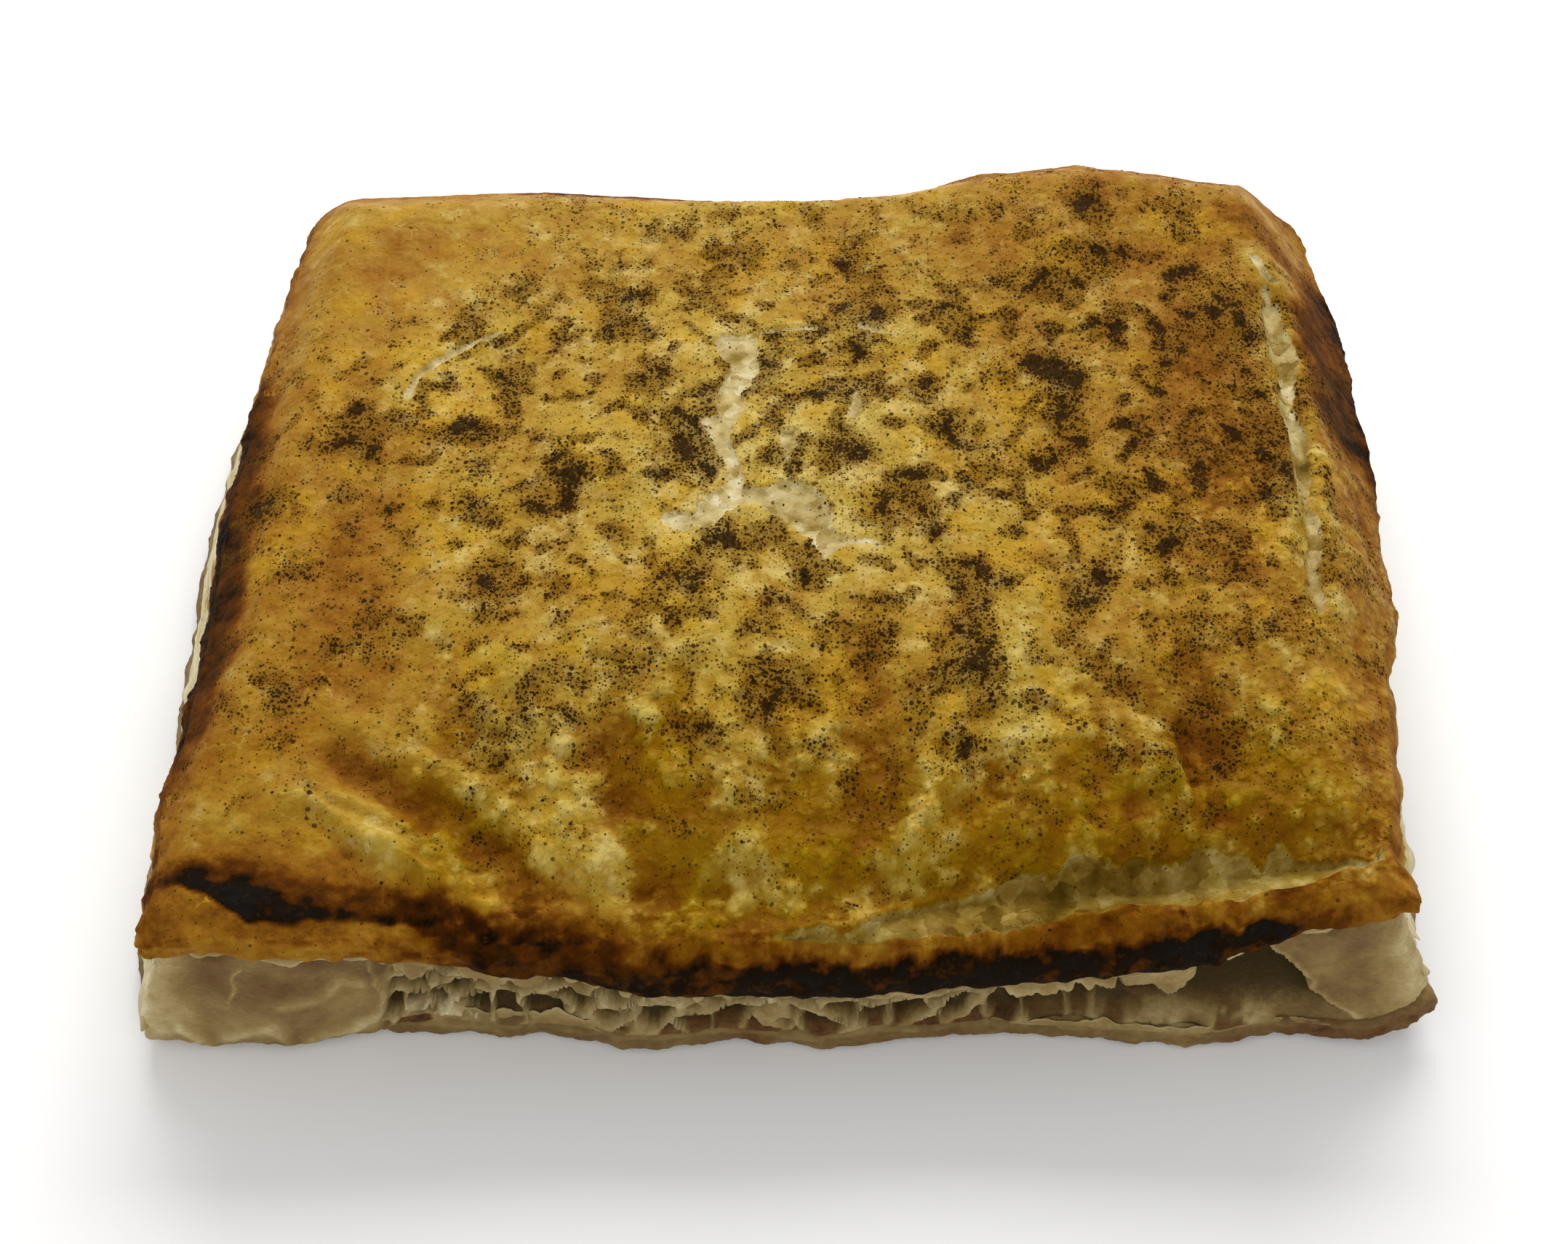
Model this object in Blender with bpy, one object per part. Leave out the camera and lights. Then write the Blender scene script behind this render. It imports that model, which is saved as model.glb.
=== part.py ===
"""Baked puff pastry slice with a closed meat filling and ground pepper on its glaze: one solid piece.

A fine grid makes the top sheet. Its rim is extruded in rings for the flaky sides, and closed underneath.
The grid is a plain cage from -1 to 1, and place() carries each point of it to its real position, worked
out in millimetres from the sizes below. Clots of pepper are then fused to the top by a Boolean union.
X runs to the right, Y to the back, Z up. The origin is the middle of the underside.
"""

import math
import random

import bmesh
import bpy
from mathutils import Vector, noise

MM = 0.001

# Grid of the top sheet. EDGE_CROWDING draws the grid lines together towards the rim.
CELLS_ACROSS = 58
CELLS_DEEP = 45
EDGE_CROWDING = 0.6

# The middle of the plan's outline, which is moved to the origin.
PLAN_MIDDLE = (-0.48, -0.25)

# Plan of the top sheet's rim. Each list holds (position along the side, offset of the rim).
TOP_FRONT = ((-66, -55.8), (-40, -55.4), (0, -55.2), (38, -53.0), (58, -51.6), (66, -51.0))
TOP_BACK = ((-64, 55.0), (-20, 55.8), (20, 55.8), (66, 55.4))
TOP_LEFT = ((-57, -65.0), (-40, -65.9), (-31, -64.8), (-20, -64.4), (4, -64.6), (20, -63.7), (55, -62.4))
TOP_RIGHT = (
    (-52, 62.8), (-44, 64.4), (-25, 67.0), (-12, 70.6), (10, 71.8), (36, 72.0), (47, 70.0), (55, 67.6),
)
TOP_CORNER_RADII = {"front_left": 1.6, "front_right": 2.0, "back_left": 4.0, "back_right": 4.5}

# Plan of the underside, whose edge is wavy at the front.
BASE_FRONT = (
    (-70, -57.2), (-54, -57.6), (-40, -55.5), (-25, -56.0), (-15, -58.0), (-6, -56.7),
    (3, -57.6), (22, -55.8), (44, -57.4), (51, -55.9), (60, -57.2), (71, -54.6),
)
BASE_BACK = ((-70, 57.4), (0, 57.8), (70, 57.4))
BASE_LEFT = ((-57, -69.6), (-42, -72.5), (-24, -73.8), (-10, -74.0), (16, -75.2), (45, -72.4), (57, -69.0))
BASE_RIGHT = ((-54, 70.8), (-46, 70.4), (-38, 72.4), (0, 73.2), (30, 73.4), (57, 70.4))
BASE_CORNER_RADII = {"front_left": 1.0, "front_right": 2.5, "back_left": 6.0, "back_right": 6.0}

# Heights of the top sheet along its rim.
CREST_FRONT = ((-66, 22.4), (-40, 21.4), (-20, 20.0), (5, 19.7), (25, 19.8), (40, 21.6), (66, 26.0))
CREST_BACK = (
    (-64, 23.0), (-56, 25.0), (-34, 25.6), (-14, 24.2), (4, 22.4), (14, 24.2), (26, 28.2), (38, 29.9),
    (60, 27.0), (67, 23.0),
)
CREST_LEFT = ((-56, 22.4), (-20, 23.6), (20, 24.2), (55, 23.0))
CREST_RIGHT = ((-51, 25.0), (-32, 22.0), (0, 18.4), (38, 18.0), (48, 19.4), (56, 22.6))

# The browned edge of the top sheet: a lip along the front, a plain crust edge on the other sides.
LIP_LOW_HEIGHT = (
    (-66, 20.2), (-45, 18.4), (-30, 16.2), (-12, 12.6), (5, 11.6), (18, 12.6), (38, 15.0), (56, 20.6), (66, 24.0),
)
LIP_REACH = ((-66, 0.9), (-40, 1.6), (0, 2.7), (38, 3.2), (58, 2.6), (66, 1.6))
CRUST_EDGE = {"left": 4.2, "right": 4.6, "back": 5.0}
CRUST_REACH = 0.5
EDGE_ROLL = ((0.3, 0.75), (0.8, 1.0), (1.0, 0.4))
EDGE_OVERHANG = {"front": 3.4, "left": 0.9, "right": 1.2, "back": 1.6}

# The dome over the filling, and how far in from each side it takes to rise.
PLATEAU_HEIGHT = 28.4
CENTRE_RISE = {"x": -4.0, "y": 2.0, "width": 34.0, "depth": 26.0, "height": 1.0}
PUFFED_CORNER = {"x": 39.0, "y": 60.0, "width": 22.0, "depth": 32.0, "height": 5.0}
SHOULDERS = {"front": 38.0, "back": 7.0, "left": 8.0, "right": 12.5}
SHOULDER_JOIN = 3.0

# The torn gap behind the front lip: its depth along the side, its distance from the rim and half its width.
TROUGH_DEPTH = ((-66, 0.0), (-30, 0.2), (0, 1.6), (30, 3.0), (56, 3.0), (66, 0.6))
TROUGH_SETBACK = 5.0
TROUGH_HALF_WIDTH = 2.8

# The long crack beside the right rim, as its line of (y, x), its depth and half its width.
CRACK_LINE = ((-20, 58.6), (-13, 59.4), (8, 61.2), (22, 60.6), (37, 60.2))
CRACK_DEPTH = 2.0
CRACK_HALF_WIDTH = 1.5
CRACK_TAPER = 7.0

# Folds that run down the front slope: from (x, y) to (x, y), the rise and half the width.
FOLDS = (
    ((-52, -38), (-30, -49), 1.2, 2.6),
    ((-46, -45), (-30, -52), 0.8, 2.2),
    ((-44, -31), (-24, -46), -1.1, 2.8),
    ((-29, -26), (-18, -50), 0.9, 3.4),
    ((-20, -36), (-14, -50), -1.1, 2.4),
    ((-8, -20), (-5, -46), 0.7, 3.6),
    ((9, -22), (10, -42), -0.8, 3.0),
    ((18, -38), (11, -46), 1.0, 2.4),
    ((25, -16), (27, -40), 0.7, 3.4),
    ((44, -26), (46, -42), -1.2, 2.4),
    ((36, -32), (42, -40), 1.0, 2.8),
)

# The patch in the middle where the glazed skin has torn off, as overlapping rounds of (x, y, radius).
TORN_SKIN = (
    (-6, 27, 3.6), (-7, 22, 3.2), (-9, 17, 3.0), (-9, 10, 3.0), (-7, 4, 3.0), (-10, -2, 3.6), (-3, -1, 3.4),
    (2, -3, 3.6), (5, -6, 3.0),
)
TORN_SKIN_DEPTH = 0.9

# Rough relief of the baked skin: (grain size, rise).
SKIN_ROUGHNESS = ((19.0, 0.9), (8.0, 0.6))

# The sides, from under the lip to the base sheet: (share of the height, how far the layer stands back).
LAYERS = ((0.0, 3.0), (0.16, 1.8), (0.34, 3.6), (0.5, 1.4), (0.72, 3.4), (1.0, 1.4))
LAYER_WAVE = 0.9
LAYER_WAVE_LENGTH = 15.0
LAYER_CRAGS = 2.2
CRAG_LENGTH = 5.0
LEAST_SETBACK = 0.3
SIDE_SETBACK = {"front": 1.0, "left": 0.3, "right": 0.5, "back": 0.7}
SMOOTH_WALL = {"from": -56.0, "to": -43.0, "setback": 1.4}
HOLLOW = {"from": 22.0, "to": 60.0, "depth": 7.5, "soft_end": 9.0, "roof": 0.35, "sill": 0.9}

# The base sheet: its thickness at the edge, the ruffle of its edge and the flat it rests on.
BASE_SHEET = 2.6
SHEET_ROUNDING = 0.3
RUFFLE_LIFT = 1.0
RUFFLE_LENGTH = 17.0
CURLED_CORNER = {"x": 71.5, "y": -54.5, "lift": 3.8, "reach": 8.0}
REST_INSET = 6.0
BASE_RINGS = 3

# Patches of ground pepper on the glaze: (x, y, radius), with one clot for each CLOT_SHARE of the radius.
PEPPER_PATCHES = (
    (38, 45, 2.0), (-8, 48, 1.6), (7, 38, 2.6), (-12, 32, 3.0), (-16, 31, 2.0), (-34, 28, 2.0), (-19, 27, 1.6),
    (28, 32, 2.4), (17, 28, 2.4), (41, 38, 1.8), (5, 22, 3.0), (31, 20, 2.6), (54, 27, 5.0), (54, 8, 4.6),
    (-37, 9, 1.6), (-24, 1, 2.6), (22, 1, 2.2), (6, 4, 4.0), (19, 9, 2.8), (-45, -3, 2.4), (-13, 7, 4.4),
    (51, -10, 2.0), (-48, -25, 2.4), (-33, -16, 2.4), (-25, -17, 2.2), (-1, -20, 2.8), (9, -23, 2.6),
    (43, -24, 2.0), (45, -29, 1.8), (21, -29, 4.2), (-9, -32, 3.2), (-1, -29, 1.8), (-30, -33, 2.8), (-54, -35, 1.6),
)
CLOT_SHARE = 2.2
CLOT_RADIUS = (0.8, 1.5)
CLOT_FLATNESS = 0.55
CLOT_SPREAD = 0.7
PEPPER_SEED = 11

CRUST_COLOUR = (0.56, 0.33, 0.09, 1.0)
CRUST_ROUGHNESS = 0.5


def mix(start, end, share):
    return start + (end - start) * share


def smooth(low, high, value):
    share = min(max((value - low) / (high - low), 0.0), 1.0)
    return share * share * (3 - 2 * share)


def hill(distance, half_width):
    return math.exp(-((distance / half_width) ** 2))


def along(profile, position):
    """Reads a profile of (position, value) pairs, eased a little at each pair."""
    if position <= profile[0][0]:
        return profile[0][1]
    for (start, low), (end, high) in zip(profile, profile[1:]):
        if position <= end:
            share = (position - start) / (end - start)
            return mix(low, high, mix(share, smooth(0, 1, share), 0.5))
    return profile[-1][1]


def wobble(x, y, z, grain):
    """Smooth noise between about -1 and 1, whose bumps are about one grain across."""
    return noise.noise(Vector((x / grain, y / grain, z / grain)))


# Plan


def rounded(a, b, radii):
    """Rounds the corners of the cage's square, so that its rim turns on the radius of that corner."""
    corner = ("front" if b < 0 else "back") + ("_left" if a < 0 else "_right")
    reach_a = radii[corner] / TOP_RIGHT[-1][1]
    reach_b = radii[corner] / TOP_BACK[-1][1]
    over_a = (abs(a) - 1 + reach_a) / reach_a
    over_b = (abs(b) - 1 + reach_b) / reach_b
    if over_a <= 0 or over_b <= 0:
        return a, b
    turned_a = over_a * math.sqrt(1 - over_b * over_b / 2)
    turned_b = over_b * math.sqrt(1 - over_a * over_a / 2)
    a = math.copysign(1 - reach_a + reach_a * turned_a, a)
    b = math.copysign(1 - reach_b + reach_b * turned_b, b)
    return a, b


def plan(a, b, front, back, left, right, radii):
    """The plan position of a cage point, set between the lines of the four sides."""
    a, b = rounded(a, b, radii)
    guess_x = a * TOP_RIGHT[-1][1]
    guess_y = b * TOP_BACK[-1][1]
    x = mix(along(left, guess_y), along(right, guess_y), (a + 1) / 2)
    y = mix(along(front, guess_x), along(back, guess_x), (b + 1) / 2)
    return x, y


def top_plan(a, b):
    x, y = plan(a, b, TOP_FRONT, TOP_BACK, TOP_LEFT, TOP_RIGHT, TOP_CORNER_RADII)
    edge = max(abs(a), abs(b)) ** 8
    return x + edge * 0.7 * wobble(x, y, 3, 9.0), y + edge * 0.5 * wobble(x, y, 8, 9.0)


def base_plan(a, b):
    x, y = plan(a, b, BASE_FRONT, BASE_BACK, BASE_LEFT, BASE_RIGHT, BASE_CORNER_RADII)
    return x + 1.1 * wobble(x, y, 13, 9.0), y + 0.4 * wobble(x, y, 18, 9.0)


# Top sheet


def mound(x, y, shape):
    return shape["height"] * hill(x - shape["x"], shape["width"]) * hill(y - shape["y"], shape["depth"])


def shoulder(distance, reach):
    """How much of the rise is still to come at this distance in from a side: 1 at the rim, 0 past reach."""
    share = min(max(distance / reach, 0.0), 1.0)
    return (1 - share) ** 2 * (1 + 0.9 * share)


def distance_to_line(x, y, start, end):
    """The distance in plan from the point to the line between start and end."""
    along_x, along_y = end[0] - start[0], end[1] - start[1]
    share = ((x - start[0]) * along_x + (y - start[1]) * along_y) / (along_x**2 + along_y**2)
    near = min(max(share, 0.0), 1.0)
    return math.hypot(x - start[0] - near * along_x, y - start[1] - near * along_y)


def folds(x, y):
    return sum(rise * hill(distance_to_line(x, y, start, end), width) for start, end, rise, width in FOLDS)


def crack(x, y):
    near, far = CRACK_LINE[0][0], CRACK_LINE[-1][0]
    length = smooth(near, near + CRACK_TAPER, y) * (1 - smooth(far - CRACK_TAPER, far, y))
    return -CRACK_DEPTH * length * hill(x - along(CRACK_LINE, y), CRACK_HALF_WIDTH)


def torn_skin(x, y):
    inside = max(1 - math.hypot(x - cx, y - cy) / radius for cx, cy, radius in TORN_SKIN)
    return -TORN_SKIN_DEPTH * smooth(0.0, 0.35, inside)


def top_height(a, b):
    """The height of the top sheet at this point of the cage."""
    x, y = top_plan(a, b)
    full = PLATEAU_HEIGHT + mound(x, y, CENTRE_RISE) + mound(x, y, PUFFED_CORNER)
    front = y - along(TOP_FRONT, x)
    falls = (
        (full - along(CREST_FRONT, x)) * shoulder(front, SHOULDERS["front"]),
        (full - along(CREST_BACK, x)) * shoulder(along(TOP_BACK, x) - y, SHOULDERS["back"]),
        (full - along(CREST_LEFT, y)) * shoulder(x - along(TOP_LEFT, y), SHOULDERS["left"]),
        (full - along(CREST_RIGHT, y)) * shoulder(along(TOP_RIGHT, y) - x, SHOULDERS["right"]),
    )
    height = full - sum(fall**SHOULDER_JOIN for fall in falls) ** (1 / SHOULDER_JOIN)
    height -= along(TROUGH_DEPTH, x) * hill(front - TROUGH_SETBACK, TROUGH_HALF_WIDTH)
    inner = 1 - max(abs(a), abs(b)) ** 10
    roughness = sum(rise * wobble(x, y, 5, grain) for grain, rise in SKIN_ROUGHNESS)
    return height + inner * (folds(x, y) + roughness) + crack(x, y) + torn_skin(x, y)


# Sides


def outward(a, b):
    """The way out of the side at a rim point of the cage, turning from one side to the next at a corner."""
    return math.copysign(smooth(0.9, 1.0, abs(a)), a), math.copysign(smooth(0.9, 1.0, abs(b)), b)


def by_side(a, b, amounts):
    """Blends the amounts given for each side by how far the rim point faces that side."""
    out_x, out_y = outward(a, b)
    amount_x = amounts["left"] if a < 0 else amounts["right"]
    amount_y = amounts["front"] if b < 0 else amounts["back"]
    return (amount_x * abs(out_x) + amount_y * abs(out_y)) / (abs(out_x) + abs(out_y))


def facing_front(b):
    return smooth(0.9, 1.0, -b)


def ruffle(x, y):
    """How far the edge of the base sheet lifts off the table."""
    wave = RUFFLE_LIFT * (0.5 + wobble(x, y, 30, RUFFLE_LENGTH))
    corner = math.hypot(x - CURLED_CORNER["x"], y - CURLED_CORNER["y"])
    return max(wave, 0.0) + CURLED_CORNER["lift"] * hill(corner, CURLED_CORNER["reach"])


def hollow(x, share):
    """The torn opening at the right of the front side, deepest under the lip."""
    length = smooth(HOLLOW["from"], HOLLOW["from"] + HOLLOW["soft_end"], x)
    length *= 1 - smooth(HOLLOW["to"] - HOLLOW["soft_end"] / 2, HOLLOW["to"], x)
    return HOLLOW["depth"] * length * (1 - smooth(HOLLOW["roof"], HOLLOW["sill"], share))


def layer_setback(a, b, x, y, share, setback):
    """How far a layer of the side stands back, with its waves, its crags and the torn opening."""
    wave = LAYER_WAVE * wobble(x, y, share * 9, LAYER_WAVE_LENGTH)
    crags = LAYER_CRAGS * wobble(x, y, share * 14, CRAG_LENGTH)
    back = (setback + wave + crags) * by_side(a, b, SIDE_SETBACK)
    smooth_wall = facing_front(b) * (1 - smooth(SMOOTH_WALL["from"], SMOOTH_WALL["to"], x))
    back = mix(back, SMOOTH_WALL["setback"], smooth_wall)
    return max(back + facing_front(b) * hollow(x, share), LEAST_SETBACK)


def side_point(a, b, ring):
    """The position of a point of the sides: ring 1 is on the rolled edge, the last ring is underneath."""
    top_x, top_y = top_plan(a, b)
    base_x, base_y = base_plan(a, b)
    crest = top_height(a, b)
    lift = ruffle(base_x, base_y)
    front = facing_front(b)
    edge_low = mix(crest - by_side(a, b, {"front": 0.0, **CRUST_EDGE}), along(LIP_LOW_HEIGHT, top_x), front)
    edge_reach = mix(CRUST_REACH, along(LIP_REACH, top_x), front)

    below_edge = ring - len(EDGE_ROLL)
    if below_edge <= 0:
        share, reach_share = EDGE_ROLL[ring - 1]
        height = mix(crest, edge_low, share)
        reach = edge_reach * reach_share
    elif below_edge <= len(LAYERS):
        share, setback = LAYERS[below_edge - 1]
        height = mix(edge_low, lift + BASE_SHEET, share)
        reach = edge_reach * (1 - smooth(0, 0.5, share))
        reach -= by_side(a, b, EDGE_OVERHANG) * (1 - smooth(0, 0.3, share))
        reach -= layer_setback(a, b, base_x, base_y, share, setback)
    else:
        base_rings = ((lift + BASE_SHEET, -SHEET_ROUNDING), (lift, 0.0), (0.0, -REST_INSET))
        height, reach = base_rings[below_edge - len(LAYERS) - 1]

    down = min((crest - height) / (crest - lift), 1.0)
    out_x, out_y = outward(a, b)
    return mix(top_x, base_x, down) + out_x * reach, mix(top_y, base_y, down) + out_y * reach, height


def place(point):
    """Carries a point of the cage to its real position. Its height in the cage is minus its ring."""
    a, b, ring = point.x, point.y, round(-point.z)
    x, y, z = (*top_plan(a, b), top_height(a, b)) if ring == 0 else side_point(a, b, ring)
    return Vector((x - PLAN_MIDDLE[0], y - PLAN_MIDDLE[1], z)) * MM


# Objects


def move_to(obj, collection):
    for other in obj.users_collection:
        other.objects.unlink(obj)
    collection.objects.link(obj)


def crowded(share):
    return mix(share, math.sin(share * math.pi / 2), EDGE_CROWDING)


def build_slice(collection):
    """The pastry as one closed mesh: the grid, its rim extruded down ring by ring, and the underside."""
    bpy.ops.mesh.primitive_grid_add(x_subdivisions=CELLS_ACROSS, y_subdivisions=CELLS_DEEP, size=2)
    pastry = bpy.context.active_object
    pastry.name = pastry.data.name = "steak_slice"
    move_to(pastry, collection)

    cage = bmesh.new()
    cage.from_mesh(pastry.data)
    for vertex in cage.verts:
        vertex.co.x = crowded(vertex.co.x)
        vertex.co.y = crowded(vertex.co.y)
    rim = [edge for edge in cage.edges if edge.is_boundary]
    for _ in range(len(EDGE_ROLL) + len(LAYERS) + BASE_RINGS):
        grown = bmesh.ops.extrude_edge_only(cage, edges=rim)["geom"]
        ring = [item for item in grown if isinstance(item, bmesh.types.BMVert)]
        bmesh.ops.translate(cage, vec=(0, 0, -1), verts=ring)
        rim = [item for item in grown if isinstance(item, bmesh.types.BMEdge) and item.is_boundary]
    bmesh.ops.holes_fill(cage, edges=rim, sides=0)
    for vertex in cage.verts:
        vertex.co = place(vertex.co)
    bmesh.ops.recalc_face_normals(cage, faces=cage.faces)
    cage.to_mesh(pastry.data)
    cage.free()
    pastry.data.shade_smooth()
    return pastry


def add_clot(pastry, x, y, draw, collection):
    """One flattened grain of pepper, half sunk in the glaze at (x, y)."""
    above = Vector((x - PLAN_MIDDLE[0], y - PLAN_MIDDLE[1], 2 * PLATEAU_HEIGHT)) * MM
    _, surface, _, _ = pastry.ray_cast(above, Vector((0, 0, -1)))
    radius = draw.uniform(*CLOT_RADIUS) * MM
    turn = draw.uniform(0, math.tau)
    bpy.ops.mesh.primitive_ico_sphere_add(subdivisions=1, radius=radius, location=surface, rotation=(0, 0, turn))
    clot = bpy.context.active_object
    clot.scale.z = CLOT_FLATNESS
    move_to(clot, collection)


def fuse_pepper(pastry):
    """Scatters the clots over the patches and joins them to the pastry."""
    clots = bpy.data.collections.new("Pepper clots")
    bpy.context.scene.collection.children.link(clots)
    draw = random.Random(PEPPER_SEED)
    for x, y, radius in PEPPER_PATCHES:
        for _ in range(max(1, round(radius / CLOT_SHARE))):
            angle = draw.uniform(0, math.tau)
            away = CLOT_SPREAD * radius * math.sqrt(draw.random())
            add_clot(pastry, x + away * math.cos(angle), y + away * math.sin(angle), draw, clots)

    union = pastry.modifiers.new("Pepper", "BOOLEAN")
    union.operation = "UNION"
    union.operand_type = "COLLECTION"
    union.collection = clots
    union.solver = "MANIFOLD"
    bpy.context.view_layer.objects.active = pastry
    bpy.ops.object.modifier_apply(modifier=union.name)
    for clot in list(clots.objects):
        bpy.data.objects.remove(clot)
    bpy.data.collections.remove(clots)


def baked_crust():
    material = bpy.data.materials.new("Baked crust")
    material.use_nodes = True
    shader = material.node_tree.nodes["Principled BSDF"]
    shader.inputs["Base Color"].default_value = CRUST_COLOUR
    shader.inputs["Roughness"].default_value = CRUST_ROUGHNESS
    shader.inputs["Metallic"].default_value = 0.0
    return material


def main():
    for obj in list(bpy.data.objects):
        bpy.data.objects.remove(obj)
    collection = bpy.data.collections.new("Steak slice")
    bpy.context.scene.collection.children.link(collection)
    pastry = build_slice(collection)
    fuse_pepper(pastry)
    pastry.data.materials.clear()
    pastry.data.materials.append(baked_crust())


main()
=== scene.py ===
import math
import random

import bpy
import numpy as np
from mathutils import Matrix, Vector, noise
from mathutils.bvhtree import BVHTree


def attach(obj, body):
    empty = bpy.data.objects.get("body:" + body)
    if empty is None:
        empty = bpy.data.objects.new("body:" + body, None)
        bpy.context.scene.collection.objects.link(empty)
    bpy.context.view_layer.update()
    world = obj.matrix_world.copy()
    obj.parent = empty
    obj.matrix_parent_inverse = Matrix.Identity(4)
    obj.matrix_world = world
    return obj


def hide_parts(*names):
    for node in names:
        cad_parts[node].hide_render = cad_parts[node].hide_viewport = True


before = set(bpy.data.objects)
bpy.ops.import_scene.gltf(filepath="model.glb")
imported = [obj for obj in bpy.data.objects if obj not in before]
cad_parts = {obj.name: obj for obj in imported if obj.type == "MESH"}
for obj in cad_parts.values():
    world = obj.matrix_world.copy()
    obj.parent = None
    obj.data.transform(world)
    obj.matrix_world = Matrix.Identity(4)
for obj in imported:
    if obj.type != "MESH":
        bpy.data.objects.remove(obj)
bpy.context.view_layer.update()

# The slice is laid out in millimetres: X to the right, Y to the back, Z up
mm = 0.001
planMiddle = (-0.48, -0.25)  # this point of the layout lies at the frame's origin

# Outlines and heights of the slice. Each list holds (position along the side, value)
sliceShape = {
    "topFront": ((-66, -55.8), (-40, -55.4), (0, -55.2), (38, -53), (58, -51.6), (66, -51)),
    "topBack": ((-64, 55), (-20, 55.8), (20, 55.8), (66, 55.4)),
    "topLeft": ((-57, -65), (-40, -65.9), (-31, -64.8), (-20, -64.4), (4, -64.6), (20, -63.7), (55, -62.4)),
    "topRight": (
        (-52, 62.8), (-44, 64.4), (-25, 67), (-12, 70.6), (10, 71.8), (36, 72), (47, 70), (55, 67.6),
    ),
    "topCorners": {"frontLeft": 1.6, "frontRight": 2, "backLeft": 4, "backRight": 4.5},
    "baseFront": (
        (-70, -57.2), (-54, -57.6), (-40, -55.5), (-25, -56), (-15, -58), (-6, -56.7), (3, -57.6),
        (22, -55.8), (44, -57.4), (51, -55.9), (60, -57.2), (71, -54.6),
    ),
    "baseBack": ((-70, 57.4), (0, 57.8), (70, 57.4)),
    "baseLeft": ((-57, -69.6), (-42, -72.5), (-24, -73.8), (-10, -74), (16, -75.2), (45, -72.4), (57, -69)),
    "baseRight": ((-54, 70.8), (-46, 70.4), (-38, 72.4), (0, 73.2), (30, 73.4), (57, 70.4)),
    "baseCorners": {"frontLeft": 1, "frontRight": 2.5, "backLeft": 6, "backRight": 6},
    "crestFront": ((-66, 22.4), (-40, 21.4), (-20, 20), (5, 19.7), (25, 19.8), (40, 21.6), (66, 26)),
    "crestBack": (
        (-64, 23), (-56, 25), (-34, 25.6), (-14, 24.2), (4, 22.4), (14, 24.2), (26, 28.2), (38, 29.9),
        (60, 27), (67, 23),
    ),
    "crestLeft": ((-56, 22.4), (-20, 23.6), (20, 24.2), (55, 23)),
    "crestRight": ((-51, 25), (-32, 22), (0, 18.4), (38, 18), (48, 19.4), (56, 22.6)),
    "lipLow": (
        (-66, 20.2), (-45, 18.4), (-30, 16.2), (-12, 12.6), (5, 11.6), (18, 12.6), (38, 15), (56, 20.6),
        (66, 24),
    ),
    "lipReach": ((-66, 0.9), (-40, 1.6), (0, 2.7), (38, 3.2), (58, 2.6), (66, 1.6)),
    "crustEdge": {"left": 4.2, "right": 4.6, "back": 5},
    "crustReach": 0.5,
    "overhang": {"front": 3.4, "left": 0.9, "right": 1.2, "back": 1.6},
    "plateau": 28.4,
    "mounds": ((-4, 2, 34, 26, 1), (39, 60, 22, 32, 5)),
    "shoulders": {"front": 38, "back": 7, "left": 8, "right": 12.5},
    "shoulderJoin": 3,
    "trough": ((-66, 0), (-30, 0.2), (0, 1.6), (30, 3), (56, 3), (66, 0.6)),
    "troughSetback": 5,
    "troughHalfWidth": 2.8,
    "crackLine": ((-20, 58.6), (-13, 59.4), (8, 61.2), (22, 60.6), (37, 60.2)),
    "crackDepth": 2,
    "crackHalfWidth": 1.5,
    "crackTaper": 7,
    "softRelief": ((19, 0.9), (8, 0.6)),
    "baseSheet": 2.6,
    "ruffleLift": 1,
    "ruffleLength": 17,
    "curledCorner": {"x": 71.5, "y": -54.5, "lift": 3.8, "reach": 8},
    "restInset": 6,
}


def mix(start, end, share):
    return start + (end - start) * share


def smooth(low, high, value):
    share = np.clip((value - low) / (high - low), 0.0, 1.0)
    return share * share * (3 - 2 * share)


def hill(distance, halfWidth):
    return np.exp(-((distance / halfWidth) ** 2))


def along(profile, position):
    # Reads a profile of (position, value) pairs, eased a little at each pair
    places, values = np.array(profile, float).T
    position = np.clip(position, places[0], places[-1])
    left = np.clip(np.searchsorted(places, position) - 1, 0, len(places) - 2)
    share = (position - places[left]) / (places[left + 1] - places[left])
    return mix(values[left], values[left + 1], mix(share, smooth(0, 1, share), 0.5))


def bumps(x, y, z, grain):
    # Smooth noise between about -1 and 1, with bumps about one grain across
    x, y, z = np.broadcast_arrays(x, y, z)
    points = np.stack((x, y, z), -1).reshape(-1, 3) / grain
    return np.array([noise.noise(point) for point in points.tolist()]).reshape(x.shape)


def cells(x, y, z, grain):
    # How near a point is to the wall between two cells: 0 on the wall, about 1 in the middle of a cell
    x, y, z = np.broadcast_arrays(x, y, z)
    points = np.stack((x, y, z), -1).reshape(-1, 3) / grain
    found = np.array([noise.voronoi(point)[0][:2] for point in points.tolist()])
    return np.clip((found[:, 1] - found[:, 0]).reshape(x.shape), 0, 1)


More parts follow.
